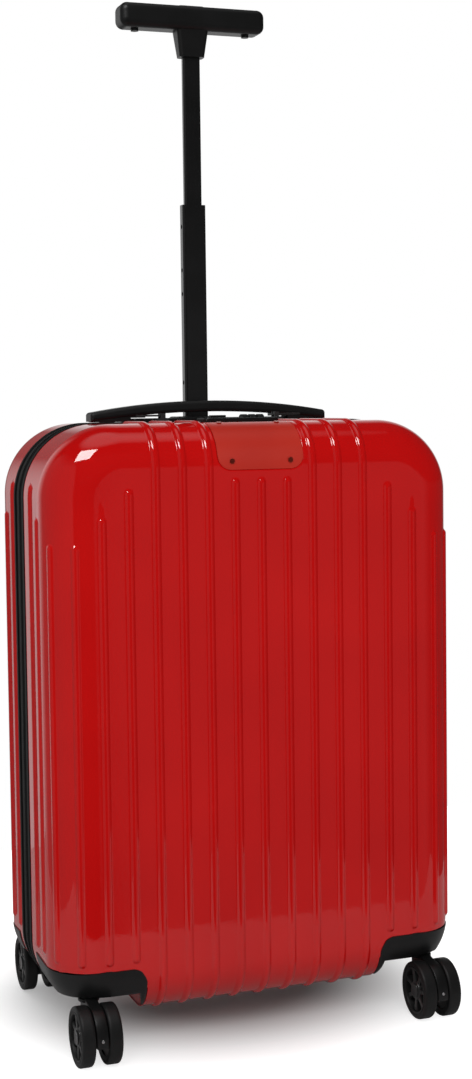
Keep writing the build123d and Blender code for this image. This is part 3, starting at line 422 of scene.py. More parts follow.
def shell_grid(end):
    """Lists of the s, w and depth lines that the shell's faces follow."""
    wall = HALF_DEPTH - EDGE - RIM_DEPTH[end]
    depth = QUARTER + HALF_DEPTH - EDGE
    s_lines, v_lines = [0.0, FACE_S], [0.0, QUARTER, QUARTER + wall]
    for index in range(RIB_COUNT):
        for step in RIB_STEPS:
            for s in (index * RIB_PITCH - step, index * RIB_PITCH + step):
                if 0 <= s <= FACE_S - SEAM_ROOM:
                    s_lines.append(s)
                elif FACE_S + SEAM_ROOM < s < FACE_S + QUARTER + wall - SEAM_ROOM:
                    v_lines.append(s - FACE_S)
    s_lines += [WELL_X, WELL_LINE, HALF_WIDTH - TOP_CORNER, HALF_WIDTH - BOTTOM_CORNER, FLAT_S]
    v_lines += [depth - WELL_Q]
    w_lines = [*CORNER_W, WELL_TOP, UNDER_TOP]
    for low, high in RIB_END_BANDS:
        w_lines += list(np.arange(low, high, RIB_END_STEP))
    if end == FRONT:
        s_lines += [PLATE_HALF + e for e in PLATE_EDGE_STEPS]
        s_lines += list(np.arange(PLATE_CORNER_S, PLATE_HALF, PLATE_CORNER_STEP))
        w_lines += [PLATE_LOW + e for e in PLATE_EDGE_STEPS]
        w_lines += list(np.arange(PLATE_LOW, PLATE_LOW + PLATE_CORNER_W, PLATE_CORNER_STEP))
        v_lines += [depth - PLATE_DEPTH + e for e in PLATE_EDGE_STEPS]
        s_lines += [abs(x) for x in LOCK_CUT_X]
        v_lines += [depth - q for q in LOCK_CUT_Q]
    else:
        s_lines += [BEZEL_CUT_X, *LEG_CUT_X]
        w_lines += [FACE_TOP + EDGE * math.asin((BEZEL_CUT_Z - FACE_TOP) / EDGE)]
        v_lines += [depth - q for q in (BEZEL_CUT_Q, *LEG_CUT_Q)]
    for low, high in ((FACE_W[0], CORNER_LOW), (CORNER_HIGH, FACE_W[1])):
        w_lines += list(np.arange(low, high, CORNER_STEP))
    s_lines += list(np.arange(HALF_WIDTH - TOP_CORNER, FACE_S - SEAM_ROOM, CORNER_STEP))
    s_all = mirrored(filled(s_lines, SHELL_S_STEP))
    return s_all, np.array(filled(w_lines, SHELL_W_STEP)), np.array(filled(v_lines, CORNER_STEP))


def between(values, limits):
    """True where values lie inside a pair of limits."""
    return (values > limits[0]) & (values < limits[1])


def shell_cut(point, end):
    """True where the shell is cut away."""
    x, q, z = np.abs(point[:, 0]), point[:, 1] * end, point[:, 2]
    cut = (x > WELL_X) & (q > WELL_Q) & (z < WELL_TOP)
    cut |= (x > UNDER_X) & (q > UNDER_Q) & (z < UNDER_TOP)
    if end == FRONT:
        return cut | between(point[:, 0], LOCK_CUT_X) & between(q, LOCK_CUT_Q) & (z > ROOF_Z)
    cut |= (x < BEZEL_CUT_X) & (q > BEZEL_CUT_Q) & (z > BEZEL_CUT_Z)
    return cut | between(x, LEG_CUT_X) & between(q, LEG_CUT_Q) & (z > ROOF_Z)


def grid_faces(rows, columns, first):
    """Four-sided faces of a grid of points, numbered from first."""
    index = first + np.arange(rows * columns).reshape(rows, columns)
    corners = [index[:-1, :-1], index[:-1, 1:], index[1:, 1:], index[1:, :-1]]
    return np.stack(corners, -1).reshape(-1, 4)


def loop_faces(loops, count, ring=True, closed=True):
    """Faces between loops of count points each.

    A ring joins the last loop to the first, and closed loops join their own ends.
    """
    faces = []
    for i in range(loops if ring else loops - 1):
        j = (i + 1) % loops
        for k in range(count if closed else count - 1):
            m = (k + 1) % count
            faces.append((i * count + k, i * count + m, j * count + m, j * count + k))
    return faces


def add_piece(name, points, faces, material, body, slot, replaces=(), smooth=True, fix_normals=True):
    """New mesh object from points in millimetres, which rides on a body unless that is None."""
    mesh = bpy.data.meshes.new(name)
    mesh.from_pydata((np.asarray(points) * MM).tolist(), [], [list(f) for f in faces])
    mesh.materials.append(MATERIALS[material])
    if fix_normals:
        work = bmesh.new()
        work.from_mesh(mesh)
        bmesh.ops.recalc_face_normals(work, faces=work.faces[:])
        work.to_mesh(mesh)
        work.free()
    mesh.polygons.foreach_set("use_smooth", [smooth] * len(mesh.polygons))
    piece = bpy.data.objects.new(name, mesh)
    bpy.context.scene.collection.objects.link(piece)
    if body:
        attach(piece, body)
    if replaces:
        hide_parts(*replaces)
    return piece


def thick_sheet(base, normal, height, faces, back):
    """Closed solid between a sheet at its heights and the sheet pushed back along its normals."""
    edges = np.concatenate([faces[:, [i, (i + 1) % 4]] for i in range(4)])
    alike = np.unique(np.sort(edges, 1), axis=0, return_inverse=True, return_counts=True)
    rim = edges[alike[2][alike[1].ravel()] == 1]
    count = len(base)
    points = np.concatenate([base + height[:, None] * normal, base - back * normal])
    bridge = np.stack([rim[:, 0], rim[:, 1], rim[:, 1] + count, rim[:, 0] + count], 1)
    return points, np.concatenate([faces, faces[:, ::-1] + count, bridge[:, ::-1]])


def sharp_by_angle(piece, degrees):
    """Smooth shading that keeps the edges sharper than an angle."""
    piece.data.set_sharp_from_angle(angle=math.radians(degrees))


def corner_name(side, end):
    """Name of a bottom corner, such as front_left."""
    return f"{END_NAMES[end]}_{SIDE_NAMES[side]}"


def wrapped_grid(end, s_all, w_all, v_all):
    """Points, normals, s, w and faces of a grid over one half of the case, from its face to its rim."""
    s_right = FACE_S + v_all
    patches = [
        (s_all[None, :], w_all[:, None]),
        (s_right[None, :], w_all[:, None]),
        (-s_right[None, :], w_all[:, None]),
        (s_all[None, :], (FACE_W[1] + v_all)[:, None]),
        (s_all[None, :], (FACE_W[0] - v_all)[:, None]),
    ]
    bases, normals, s_values, w_values, faces = [], [], [], [], []
    first = 0
    for s, w in patches:
        s, w = np.broadcast_arrays(s, w)
        base, normal = skin(s, w, end)
        bases.append(base.reshape(-1, 3))
        normals.append(normal.reshape(-1, 3))
        s_values.append(s.ravel())
        w_values.append(w.ravel())
        faces.append(grid_faces(*s.shape, first))
        first += s.size
    base, normal, faces = np.concatenate(bases), np.concatenate(normals), np.concatenate(faces)
    _, keep, where = np.unique(np.round(base, 3), axis=0, return_index=True, return_inverse=True)
    s_values, w_values = np.concatenate(s_values)[keep], np.concatenate(w_values)[keep]
    return base[keep], normal[keep], s_values, w_values, where.ravel()[faces]


def make_shell(end):
    """Ribbed shell of one half, with its cuts and its wall."""
    base, normal, s_values, w_values, faces = wrapped_grid(end, *shell_grid(end))
    height = shell_height(s_values, w_values, end)
    faces = faces[~shell_cut(base[faces].mean(1), end)]
    used, packed = np.unique(faces, return_inverse=True)
    faces = packed.reshape(faces.shape)
    points, faces = thick_sheet(base[used], normal[used], height[used], faces, WALL)
    name = END_NAMES[end]
    piece = add_piece(
        "shell_" + name, points, faces, "red_shell", SHELL_BODY[end], "red_shell", [name + "_shell"]
    )
    sharp_by_angle(piece, degrees=50)


def guard_foot(s, q, end):
    """Height of a guard's lower edge: a leg at the well's inner edge, and a rise towards the zip."""
    leg = np.interp(s - GUARD_X, *GUARD_LEG)
    climb = np.clip((CLIMB_START - q) / (CLIMB_START - GUARD_Q[end]), 0, 1)
    return leg + CLIMB_RISE * climb**CLIMB_POWER


def make_guard(side, end):
    """Moulded corner guard that lies over the shell's corner, with rounded edges."""
    s_end = FLAT_S + BEND + HALF_DEPTH - EDGE - GUARD_Q[end]
    s_lines = [GUARD_X + n for n in GUARD_NEAR] + [FLAT_S] + [s_end - n for n in GUARD_FAR]
    s_lines = np.array(filled(s_lines, GUARD_S_STEP))
    shares = np.array(filled(GUARD_SHARES, GUARD_SHARE_STEP))
    w_grid = np.zeros((len(shares), len(s_lines)))
    margin = np.zeros_like(w_grid)
    for i, s in enumerate(s_lines):
        place, _ = skin(s, W_TRY, end)
        z, q = place[:, 2], place[:, 1] * end
        inner = min(s - GUARD_X, GUARD_ROUND)
        round_off = GUARD_ROUND - math.sqrt(GUARD_ROUND**2 - (GUARD_ROUND - inner) ** 2)
        low = np.interp(0.0, z - guard_foot(s, q, end), W_TRY)
        high = np.interp(0.0, z - GUARD_TOP + round_off, W_TRY)
        column = low + (high - low) * shares
        w_grid[:, i] = column
        upright = np.minimum(column - low, high - column)
        margin[:, i] = np.minimum(upright, min(s - GUARD_X, s_end - s))
    short = np.maximum(GUARD_LIP - margin, 0)
    height = GUARD_PROUD - GUARD_LIP + np.sqrt(np.maximum(GUARD_LIP**2 - short**2, 0))
    base, normal = skin(side * s_lines[None, :], w_grid, end)
    faces = grid_faces(*w_grid.shape, 0)
    base, normal = base.reshape(-1, 3), normal.reshape(-1, 3)
    points, faces = thick_sheet(base, normal, height.ravel(), faces, GUARD_BACK)
    name, body = corner_name(side, end), SHELL_BODY[end]
    guard = add_piece(
        "guard_skin_" + name, points, faces, "black_plastic", body, "black_plastic", ["guard_" + name]
    )
    sharp_by_angle(guard, degrees=45)
    make_well(side, end, name)


def prism(outline, low, high):
    """Upright solid over a plan outline."""
    count = len(outline)
    points = [(x, y, low) for x, y in outline] + [(x, y, high) for x, y in outline]
    faces = [tuple(range(count))[::-1], tuple(range(count, 2 * count))]
    faces += [(i, (i + 1) % count, count + (i + 1) % count, count + i) for i in range(count)]
    return points, faces


def joined(parts):
    """One list of points and faces from several."""
    points, faces = [], []
    for part_points, part_faces in parts:
        first = len(points)
        points += [tuple(p) for p in part_points]
        faces += [tuple(i + first for i in f) for f in part_faces]
    return points, faces


def make_well(side, end, name):
    """Red walls and black ceiling of the room that a caster swings in."""
    body = SHELL_BODY[end]
    start, behind = WELL_X - WALL, WELL_Q - WALL

    def rounded_wall(first, centre, radius):
        """Outline of a wall whose lower outer corner follows the case's outside."""
        centre_z = SHELL_BOTTOM + radius
        bend = radius - WELL_INSET
        last = math.acos((centre_z - WELL_TOP) / bend)
        turns = np.linspace(0, last, WELL_ARC_POINTS)
        arc = [(centre + bend * math.sin(t), centre_z - bend * math.cos(t)) for t in turns]
        return [(first, SHELL_BOTTOM + WELL_INSET), *arc, (first, WELL_TOP)]

    back = rounded_wall(start, HALF_WIDTH - BOTTOM_CORNER, BOTTOM_CORNER)
    back_points, back_faces = prism(back, behind, WELL_Q)
    back_points = [(side * x, end * q, z) for x, z, q in back_points]
    inner = rounded_wall(behind, HALF_DEPTH - EDGE, EDGE)
    inner_points, inner_faces = prism(inner, start, WELL_X)
    inner_points = [(side * x, end * q, z) for q, z, x in inner_points]
    walls = joined([(back_points, back_faces), (inner_points, inner_faces)])
    add_piece("well_walls_" + name, *walls, "red_shell", body, "red_shell", smooth=False)
    # The ceiling follows the skin's outline, in two halves that leave a hole for the swivel pin
    rim = []
    for s in np.linspace(WELL_X, FLAT_S + BEND + HALF_DEPTH - EDGE - WELL_Q, WELL_RIM_POINTS):
        place, normal = skin(s, W_TRY, end)
        k = np.argmin(np.abs(place[:, 2] - WELL_TOP + CEILING_DROP))
        rim.append((place[k] - GUARD_BACK * normal[k])[:2] * (1, end))
    rim = np.array(rim)
    split = (np.interp(-STEM_Q, -rim[:, 1], rim[:, 0]), STEM_Q)
    turns = np.linspace(0, math.pi, PIN_HOLE_POINTS)
    hole = [(PIN_ROOM * math.cos(t), PIN_ROOM * math.sin(t)) for t in turns]
    outer = [(start, STEM_Q), (start, rim[0][1]), *rim[rim[:, 1] > STEM_Q], split]
    outer += [(STEM_X + u, STEM_Q + v) for u, v in hole]
    rest = [(start, behind), (start, STEM_Q), *((STEM_X - u, STEM_Q - v) for u, v in hole), split]
    rest += [*rim[rim[:, 1] < STEM_Q], (rim[-1][0], behind)]
    plans = [[(side * x, end * q) for x, q in plan] for plan in (outer, rest)]
    ceiling = joined(prism(plan, CEILING_LOW, WELL_TOP) for plan in plans)
    add_piece("well_ceiling_" + name, *ceiling, "black_plastic", body, "black_plastic", smooth=False)


# Casters; profiles are (radius, along), and the fork's outline is (outwards, up) from the axle
TRAIL, WHEEL_R = 21.0, 25.0
WHEEL_OFFSET, BLADE_HALF = 11.5, 5.0
WHEEL_TURN, HUB_TURN, NECK_TURN, PIN_TURN = 72, 40, 48, 24
TYRE = (
    (18.2, -5.0), (22.8, -5.8), (23.9, -5.6), (24.6, -5.0), (24.95, -4.1), (25.0, -3.0),
    (25.0, 3.0), (24.95, 4.1), (24.6, 5.0), (23.9, 5.6), (22.9, 5.85), (21.6, 5.9),
    (21.2, 5.5), (20.8, 5.5), (20.4, 5.9), (19.2, 5.85), (18.5, 5.3), (18.2, 4.5),
)
HUB = ((3.15, -5.4), (7.6, -5.4), (8.2, -4.8), (8.2, 3.6), (7.7, 4.3), (7.0, 4.5), (3.15, 4.5))
WEB = ((7.4, -3.6), (18.6, -3.6), (18.6, -2.4), (7.4, -2.4))
CAP = (
    (0.0, 4.62), (5.6, 4.62), (6.2, 4.75), (6.4, 5.1), (6.2, 5.45), (5.5, 5.6), (4.9, 5.45),
    (0.0, 5.45),
)
SPOKES, SPOKE_START = 7, 0.3
SPOKE_SECTIONS = ((7.2, 2.6), (12.5, 1.9), (18.6, 2.9))
SPOKE_OUTLINE = ((-1.0, -3.0), (-1.0, 3.2), (-0.7, 3.8), (0.7, 3.8), (1.0, 3.2), (1.0, -3.0))
FENDER_R, FENDER_SWEEP, FENDER_POINTS = 24.0, (-7, 78), 24
FORK_FRONT = ((20.0, -4.2), (23.0, -4.2))
FORK_REST = (
    (-4.0, 24.2), (-11.0, 25.6), (-13.0, 26.3), (-28.6, 26.3), (-29.8, 25.4), (-30.0, 24.0),
    (-30.0, 12.0), (-29.3, 6.0), (-27.0, 0.5), (-23.0, -4.2), (-17.0, -7.6), (-9.0, -9.6),
    (0.0, -10.2), (8.0, -9.0), (15.0, -6.2),
)
FORK_BEVEL, BEVEL_TURNS = 0.9, (90, 60, 30, 0)
NECK = (
    (0.0, 48.0), (8.9, 48.0), (9.0, 48.6), (9.0, 50.3), (8.6, 50.7), (7.4, 50.9), (7.4, 51.7),
    (0.0, 51.7),
)
PIN = ((0.0, 0.9), (0.9, 0.75), (1.35, 0.3), (1.45, -0.6), (0.0, -0.6))
PIN_OUT, PIN_UP = 23.8, 2.2


def revolved(profile, segments, closed=True):
    """Ring of a (radius, along) profile turned about X."""
    angles = np.linspace(0, 2 * math.pi, segments, endpoint=False)
    points = [(x, r * math.cos(t), r * math.sin(t)) for t in angles for r, x in profile]
    return points, loop_faces(segments, len(profile), closed=closed)


def spoke(angle):
    """One tapered spoke with chamfered edges, along the radius at an angle."""
    points = []
    for radius, half in SPOKE_SECTIONS:
        for side, x in SPOKE_OUTLINE:
            y, z = radius, side * half
            turned_y = y * math.cos(angle) - z * math.sin(angle)
            turned_z = y * math.sin(angle) + z * math.cos(angle)
            points.append((x, turned_y, turned_z))
    count = len(SPOKE_OUTLINE)
    faces = loop_faces(len(SPOKE_SECTIONS), count, ring=False)
    faces.append(tuple(range(count)))
    faces.append(tuple(range(len(points) - count, len(points)))[::-1])
    return points, faces


def make_wheel(side, end, place):
    """Tyre with round shoulders on a spoked hub with a centre cap."""
    name = f"{corner_name(side, end)}_{place}"
    out = side if place == "outer" else -side
    centre = (side * STEM_X + out * WHEEL_OFFSET, end * (STEM_Q + TRAIL), WHEEL_R)

    def put(part):
        points, faces = part
        return [(centre[0] + out * x, centre[1] + y, centre[2] + z) for x, y, z in points], faces

    body = "wheel_" + name
    ring = put(revolved(TYRE, WHEEL_TURN))
    tyre = add_piece("tyre_" + name, *ring, "wheel_rubber", body, "wheel_rubber", [body])
    parts = [revolved(HUB, HUB_TURN), revolved(WEB, HUB_TURN), revolved(CAP, HUB_TURN, closed=False)]
    parts += [spoke(2 * math.pi * i / SPOKES + SPOKE_START) for i in range(SPOKES)]
    hub = add_piece("hub_" + name, *put(joined(parts)), "hub_plastic", body, "black_plastic")
    for piece in (tyre, hub):
        sharp_by_angle(piece, degrees=38)


def inset_outline(outline, amount):
    """Closed outline moved inwards; it runs counter-clockwise."""
    p = np.array(outline)
    before, after = np.roll(p, 1, 0), np.roll(p, -1, 0)

    def normal(d):
        d = d / np.linalg.norm(d, axis=1, keepdims=True)
        return np.stack([-d[:, 1], d[:, 0]], 1)

    n = normal(p - before) + normal(after - p)
    n /= np.maximum(np.linalg.norm(n, axis=1, keepdims=True), 1e-9)
    return p + n * amount


def bevelled_plate(outline, half, bevel):
    """Flat plate over an outline, as (u, v, across) points, with rounded edges."""
    loops = []
    for degrees in BEVEL_TURNS:
        t = math.radians(degrees)
        loop = inset_outline(outline, bevel * (1 - math.cos(t)))
        loops.append((loop, -half + bevel * (1 - math.sin(t))))
    loops += [(loop, -across) for loop, across in reversed(loops)]
    count = len(outline)
    points = [(u, v, across) for loop, across in loops for u, v in loop]
    faces = loop_faces(len(loops), count, ring=False)
    faces.append(tuple(range(count))[::-1])
    faces.append(tuple(range(len(points) - count, len(points))))
    return points, faces


def make_caster(side, end):
    """Fork whose fender fills the room between the wheels, with its neck and its small front pin."""
    name = corner_name(side, end)
    body = "caster_" + name
    x0, y0 = side * STEM_X, end * (STEM_Q + TRAIL)
    turns = np.radians(np.linspace(*FENDER_SWEEP, FENDER_POINTS))
    fender = [(FENDER_R * math.cos(t), FENDER_R * math.sin(t)) for t in turns]
    points, faces = bevelled_plate([*FORK_FRONT, *fender, *FORK_REST], BLADE_HALF, FORK_BEVEL)
    points = [(x0 + across, y0 + end * u, WHEEL_R + v) for u, v, across in points]
    neck_points, neck_faces = revolved(NECK, NECK_TURN, closed=False)
    neck_points = [(x0 + y, end * STEM_Q + z, x) for x, y, z in neck_points]
    parts = joined([(points, faces), (neck_points, neck_faces)])
    fork = add_piece(
        "fork_" + name, *parts, "black_plastic", body, "black_plastic", ["caster_fork_" + name]
    )
    sharp_by_angle(fork, degrees=40)
    pin_points, pin_faces = revolved(PIN, PIN_TURN, closed=False)
    pin_points = [(x0 + y, y0 + end * (PIN_OUT + x), WHEEL_R + PIN_UP + z) for x, y, z in pin_points]
    add_piece("fork_pin_" + name, pin_points, pin_faces, "steel", body, "steel")
    for place in WHEEL_PLACES:
        make_wheel(side, end, place)


# Carry handle; the end's outline is (x, z)
GRIP_Y, GRIP_END_HALF, GRIP_END_BEVEL = 40.0, 8.6, 0.7
GRIP_END = (
    (62.0, 533.2), (75.5, 533.2), (76.2, 529.7), (110.3, 529.7), (111.3, 530.6),
    (111.4, 533.5), (100.0, 536.0), (80.0, 538.0), (62.0, 537.6),
)


def make_grip_end(side):
    """Moulded end under the carry grip, which fills the room down to the shell."""
    outline = GRIP_END if side > 0 else [(-x, z) for x, z in reversed(GRIP_END)]
    points, faces = bevelled_plate(outline, GRIP_END_HALF, GRIP_END_BEVEL)
    points = [(x, GRIP_Y + across, z) for x, z, across in points]
    name = "grip_end_" + SIDE_NAMES[side]
    piece = add_piece(name, points, faces, "soft_black", "carry_handle", "soft_black")
    sharp_by_angle(piece, degrees=40)


# Zip; sections are (y towards the shell, outwards), from the shell's rim or from the tape's toothed edge
ZIP_Y, ZIP_CLEAR, RING_STEP = 8.0, 0.2, 6.0
CORNER_POINTS = 60
TAPE_AT_RIM = ((5.5, -2.7), (0.3, -2.7), (-0.3, -1.6), (-1.4, -0.75), (-2.6, -0.62))
TAPE_AT_EDGE = ((3.4, -0.62), (3.0, -0.25), (1.2, -0.2), (0.0, -0.5), (0.0, -1.9))
TAPE_TUCK = (5.5, -3.6)
TRIM = (
    (-2.5, -1.6), (-2.6, -0.6), (-2.1, 0.2), (-1.2, 0.6), (0.0, 0.7), (2.4, 0.6), (3.9, 0.45),
    (4.3, 0.1), (4.2, -0.6), (-0.1, -0.6), (-0.2, -1.6),
)
TOOTH = ((-0.42, 0.0), (-0.42, 0.45), (-0.2, 0.62), (0.2, 0.62), (0.42, 0.45), (0.42, 0.0))
TOOTH_PITCH, TOOTH_SINK, TOOTH_REACH = 1.7, 0.28, (0.05, 2.5)
TOOTH_SHIFT = {FRONT: 0.25 * TOOTH_PITCH, REAR: 0.75 * TOOTH_PITCH}


def case_outline(step):
    """Points, outward normals and tangents, evenly spaced along the case's outline in the XZ plane."""
    runs = []
    corners = (
        (HALF_WIDTH - TOP_CORNER, SHELL_TOP - TOP_CORNER, TOP_CORNER, 0),
        (-HALF_WIDTH + TOP_CORNER, SHELL_TOP - TOP_CORNER, TOP_CORNER, 90),
        (-HALF_WIDTH + BOTTOM_CORNER, SHELL_BOTTOM + BOTTOM_CORNER, BOTTOM_CORNER, 180),
        (HALF_WIDTH - BOTTOM_CORNER, SHELL_BOTTOM + BOTTOM_CORNER, BOTTOM_CORNER, 270),
    )
    for cx, cz, radius, start in corners:
        angles = np.radians(np.linspace(start, start + 90, CORNER_POINTS))
        runs += [(cx + radius * math.cos(t), cz + radius * math.sin(t)) for t in angles]
    loop = np.array(runs + runs[:1])
    along = np.concatenate([[0], np.cumsum(np.hypot(*np.diff(loop, axis=0).T))])
    count = int(round(along[-1] / step))
    where = np.linspace(0, along[-1], count, endpoint=False)
    place = np.stack([np.interp(where, along, loop[:, 0]), np.interp(where, along, loop[:, 1])], 1)
    tangent = np.roll(place, -1, 0) - np.roll(place, 1, 0)
    tangent /= np.linalg.norm(tangent, axis=1, keepdims=True)
    normal = np.stack([tangent[:, 1], -tangent[:, 0]], 1)
    return place, normal, tangent


def swept_ring(section, step):
    """Closed ring of a (y, outwards) section carried round the case's outline."""
    place, normal, _ = case_outline(step)
    points = []
    for (x, z), (nx, nz) in zip(place, normal):
        points += [(x + nx * out, y, z + nz * out) for y, out in section]
    return points, loop_faces(len(place), len(section))


def make_teeth(edge, end):
    """Points and faces of a row of moulded teeth on one tape."""
    count = len(TOOTH)
    points, faces = [], []
    for (x, z), (nx, nz), (tx, tz) in zip(*case_outline(TOOTH_PITCH)):
        first = len(points)
        for y in (edge + end * reach for reach in TOOTH_REACH):
            for along, out in TOOTH:
                a = along + TOOTH_SHIFT[end]
                o = out - TOOTH_SINK
                points.append((x + tx * a + nx * o, y, z + tz * a + nz * o))
        sides = loop_faces(2, count, ring=False)
        ends = [tuple(range(count))[::-1], tuple(range(count, 2 * count))]
        faces += [tuple(first + k for k in face) for face in sides + ends]
    return points, faces


def make_zip(end):
    """Woven tape with its turned edge, the rubber trim over the shell's rim and a row of teeth."""
    rim = end * RIM_DEPTH[end]
    edge = ZIP_Y + end * ZIP_CLEAR
    body, name = SHELL_BODY[end], END_NAMES[end]
    tape = [(rim + end * y, out) for y, out in TAPE_AT_RIM]
    tape += [(edge + end * y, out) for y, out in TAPE_AT_EDGE]
    tape += [(rim + end * TAPE_TUCK[0], TAPE_TUCK[1])]
    ring = swept_ring(tape, RING_STEP)
    cloth = add_piece("zip_band_" + name, *ring, "zip_cloth", body, "zip_cloth", ["zip_tape_" + name])
    sharp_by_angle(cloth, degrees=60)
    trim = swept_ring([(rim + end * y, out) for y, out in TRIM], RING_STEP)
    add_piece("zip_piping_" + name, *trim, "piping", body, "zip_cloth")
    add_piece("zip_teeth_" + name, *make_teeth(edge, end), "zip_teeth", body, "zip_cloth", smooth=False)


# Cloth inside
LINING_INSET, LINING_STEP = 3.6, 8.0
LINING_RIM = {FRONT: 11.85, REAR: 27.85}
COVER_X, COVER_Z, COVER_Q = 100.4, 72.5, 27.4
REAR_PANEL_Q, REAR_PANEL_TOP = 55.3, 477.6
LOCK_ROOM_X, LOCK_ROOM_Q, LOCK_ROOM_Z = (-32.5, 42.5), (14.5, 40.0), 509.5
LOCK_ROOM_FROM = 480.0
SLACK_EASE, SLACK_SKIN, SLACK_PANEL, PANEL_STRETCH = 12.0, 1.1, 1.4, 1.3
FOLD_PAIR = (-0.2, 0.2)
WELD = 0.0001


def slack(x, q, z):
    """Soft waves of cloth that is stretched only at its edges, from 0 to about 1."""
    wave = np.sin(x / 19 + 1.9 * np.sin(z / 47)) + np.sin(z / 27 + 1.6 * np.sin(x / 43) + q / 15)
    wave = wave + 0.6 * np.sin((x + z) / 12 + 2.2 * np.sin((x - z) / 61))
    return np.clip(0.5 + wave / 5.2, 0, 1)


def make_lining(end):
    """Lining cloth that follows the shell, covers the wheel wells and hides the pole and the lock."""
    rim = LINING_RIM[end]
    depth = QUARTER + HALF_DEPTH - EDGE
    s_lines = [0.0, HALF_WIDTH - TOP_CORNER, FLAT_S, FACE_S] + [COVER_X + e for e in FOLD_PAIR]
    w_lines = [*CORNER_W] + [COVER_Z + e for e in FOLD_PAIR]
    v_lines = [0.0, QUARTER, depth - rim]
    if end == FRONT:
        s_lines += [abs(x) + e for x in LOCK_ROOM_X for e in FOLD_PAIR]
        v_lines += [depth - q + e for q in (*LOCK_ROOM_Q, COVER_Q) for e in FOLD_PAIR]
    else:
        w_lines += [REAR_PANEL_TOP + e for e in FOLD_PAIR]
        v_lines += [depth - REAR_PANEL_Q + e for e in FOLD_PAIR]
    s_all = mirrored(filled(s_lines, LINING_STEP))
    w_all, v_all = np.array(filled(w_lines, LINING_STEP)), np.array(filled(v_lines, LINING_STEP))
    base, normal, _, _, faces = wrapped_grid(end, s_all, w_all, v_all)
    x, q, z = base[:, 0], base[:, 1] * end, base[:, 2]
    ease = np.clip((q - rim) / SLACK_EASE, 0, 1)
    points = base - (LINING_INSET + SLACK_SKIN * ease * slack(x, q, z))[:, None] * normal
    deepest = np.full(len(points), HALF_DEPTH)
    if end == REAR:
        deepest[:] = np.where(z > REAR_PANEL_TOP, COVER_Q, REAR_PANEL_Q)
    else:
        in_lock = between(x, LOCK_ROOM_X) & between(q, LOCK_ROOM_Q) & (z > LOCK_ROOM_FROM)
        points[in_lock, 2] = np.minimum(points[in_lock, 2], LOCK_ROOM_Z)
    deepest = np.where((np.abs(x) > COVER_X) & (z < COVER_Z), COVER_Q, deepest)
    folded = points[:, 1] * end > deepest
    points[folded, 1] = end * (deepest - SLACK_PANEL * slack(x * PANEL_STRETCH, q, z))[folded]
    name, body = END_NAMES[end], SHELL_BODY[end]
    cloth = add_piece(
        "cloth_" + name, points, faces, "lining", body, "lining", ["lining_" + name], fix_normals=False
    )
    work = bmesh.new()
    work.from_mesh(cloth.data)
    bmesh.ops.remove_doubles(work, verts=work.verts[:], dist=WELD)
    bmesh.ops.dissolve_degenerate(work, edges=work.edges[:], dist=WELD)
    area = sum(f.calc_area() for f in work.faces)
    work.to_mesh(cloth.data)
    work.free()
    sharp_by_angle(cloth, degrees=60)


# Cloth hinge; half of its fold is (x, from the zip's middle)
HINGE_Z, HINGE_ROWS = (96.0, 452.0), 46
HINGE_HALF = ((183.6, 3.6), (182.6, 2.4), (181.2, 1.8), (179.8, 1.5), (178.6, 1.1), (178.0, 0.5))
HINGE_FOLD = 177.9
HINGE_WAVE, HINGE_WAVE_LENGTH = 0.3, 9.0


def make_hinge():
    """Gusset behind the zip on the right, folded inwards as when the case is shut; on the real case it
    bridges the open halves.
    """
    section = [(x, ZIP_Y + y) for x, y in HINGE_HALF] + [(HINGE_FOLD, ZIP_Y)]
    section += [(x, ZIP_Y - y) for x, y in reversed(HINGE_HALF)]
    heights = np.linspace(*HINGE_Z, HINGE_ROWS)
    waves = [HINGE_WAVE * math.sin(z / HINGE_WAVE_LENGTH) for z in heights]
    points = [(x - wave, y, z) for z, wave in zip(heights, waves) for x, y in section]
    faces = grid_faces(len(heights), len(section), 0)
    gusset = add_piece("hinge_gusset", points, faces, "zip_cloth", None, "zip_cloth")
    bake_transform(gusset)


# Stage, in metres
FLOOR_FAR, FLOOR_NEAR = 0.6, 0.42
FLOOR_GREY = (0.5, 0.5, 0.5, 1)
WHITE = (1, 1, 1, 1)
# Oval under the case where the floor's glow fades out; the grey left there is painted shade, on top of
# the lamps' real shadow
SHADOW_STRETCH, SHADOW_SHIFT = (1.2, 1.4, 1.0), (0.0, -0.07, 0.0)
SHADOW_FADE = {"From Min": 0.1, "From Max": 0.36, "To Min": 0.0, "To Max": 1.0}
ROOM_LIGHT = 0.5
KEY_SIZE, KEY_POWER = (0.6, 0.4), 10.5
FILL_TARGET, FILL_SIZE, FILL_POWER, BACK_FILL_POWER = (0, 0, 0.3), (2.4, 1.6), 35.0, 22.0


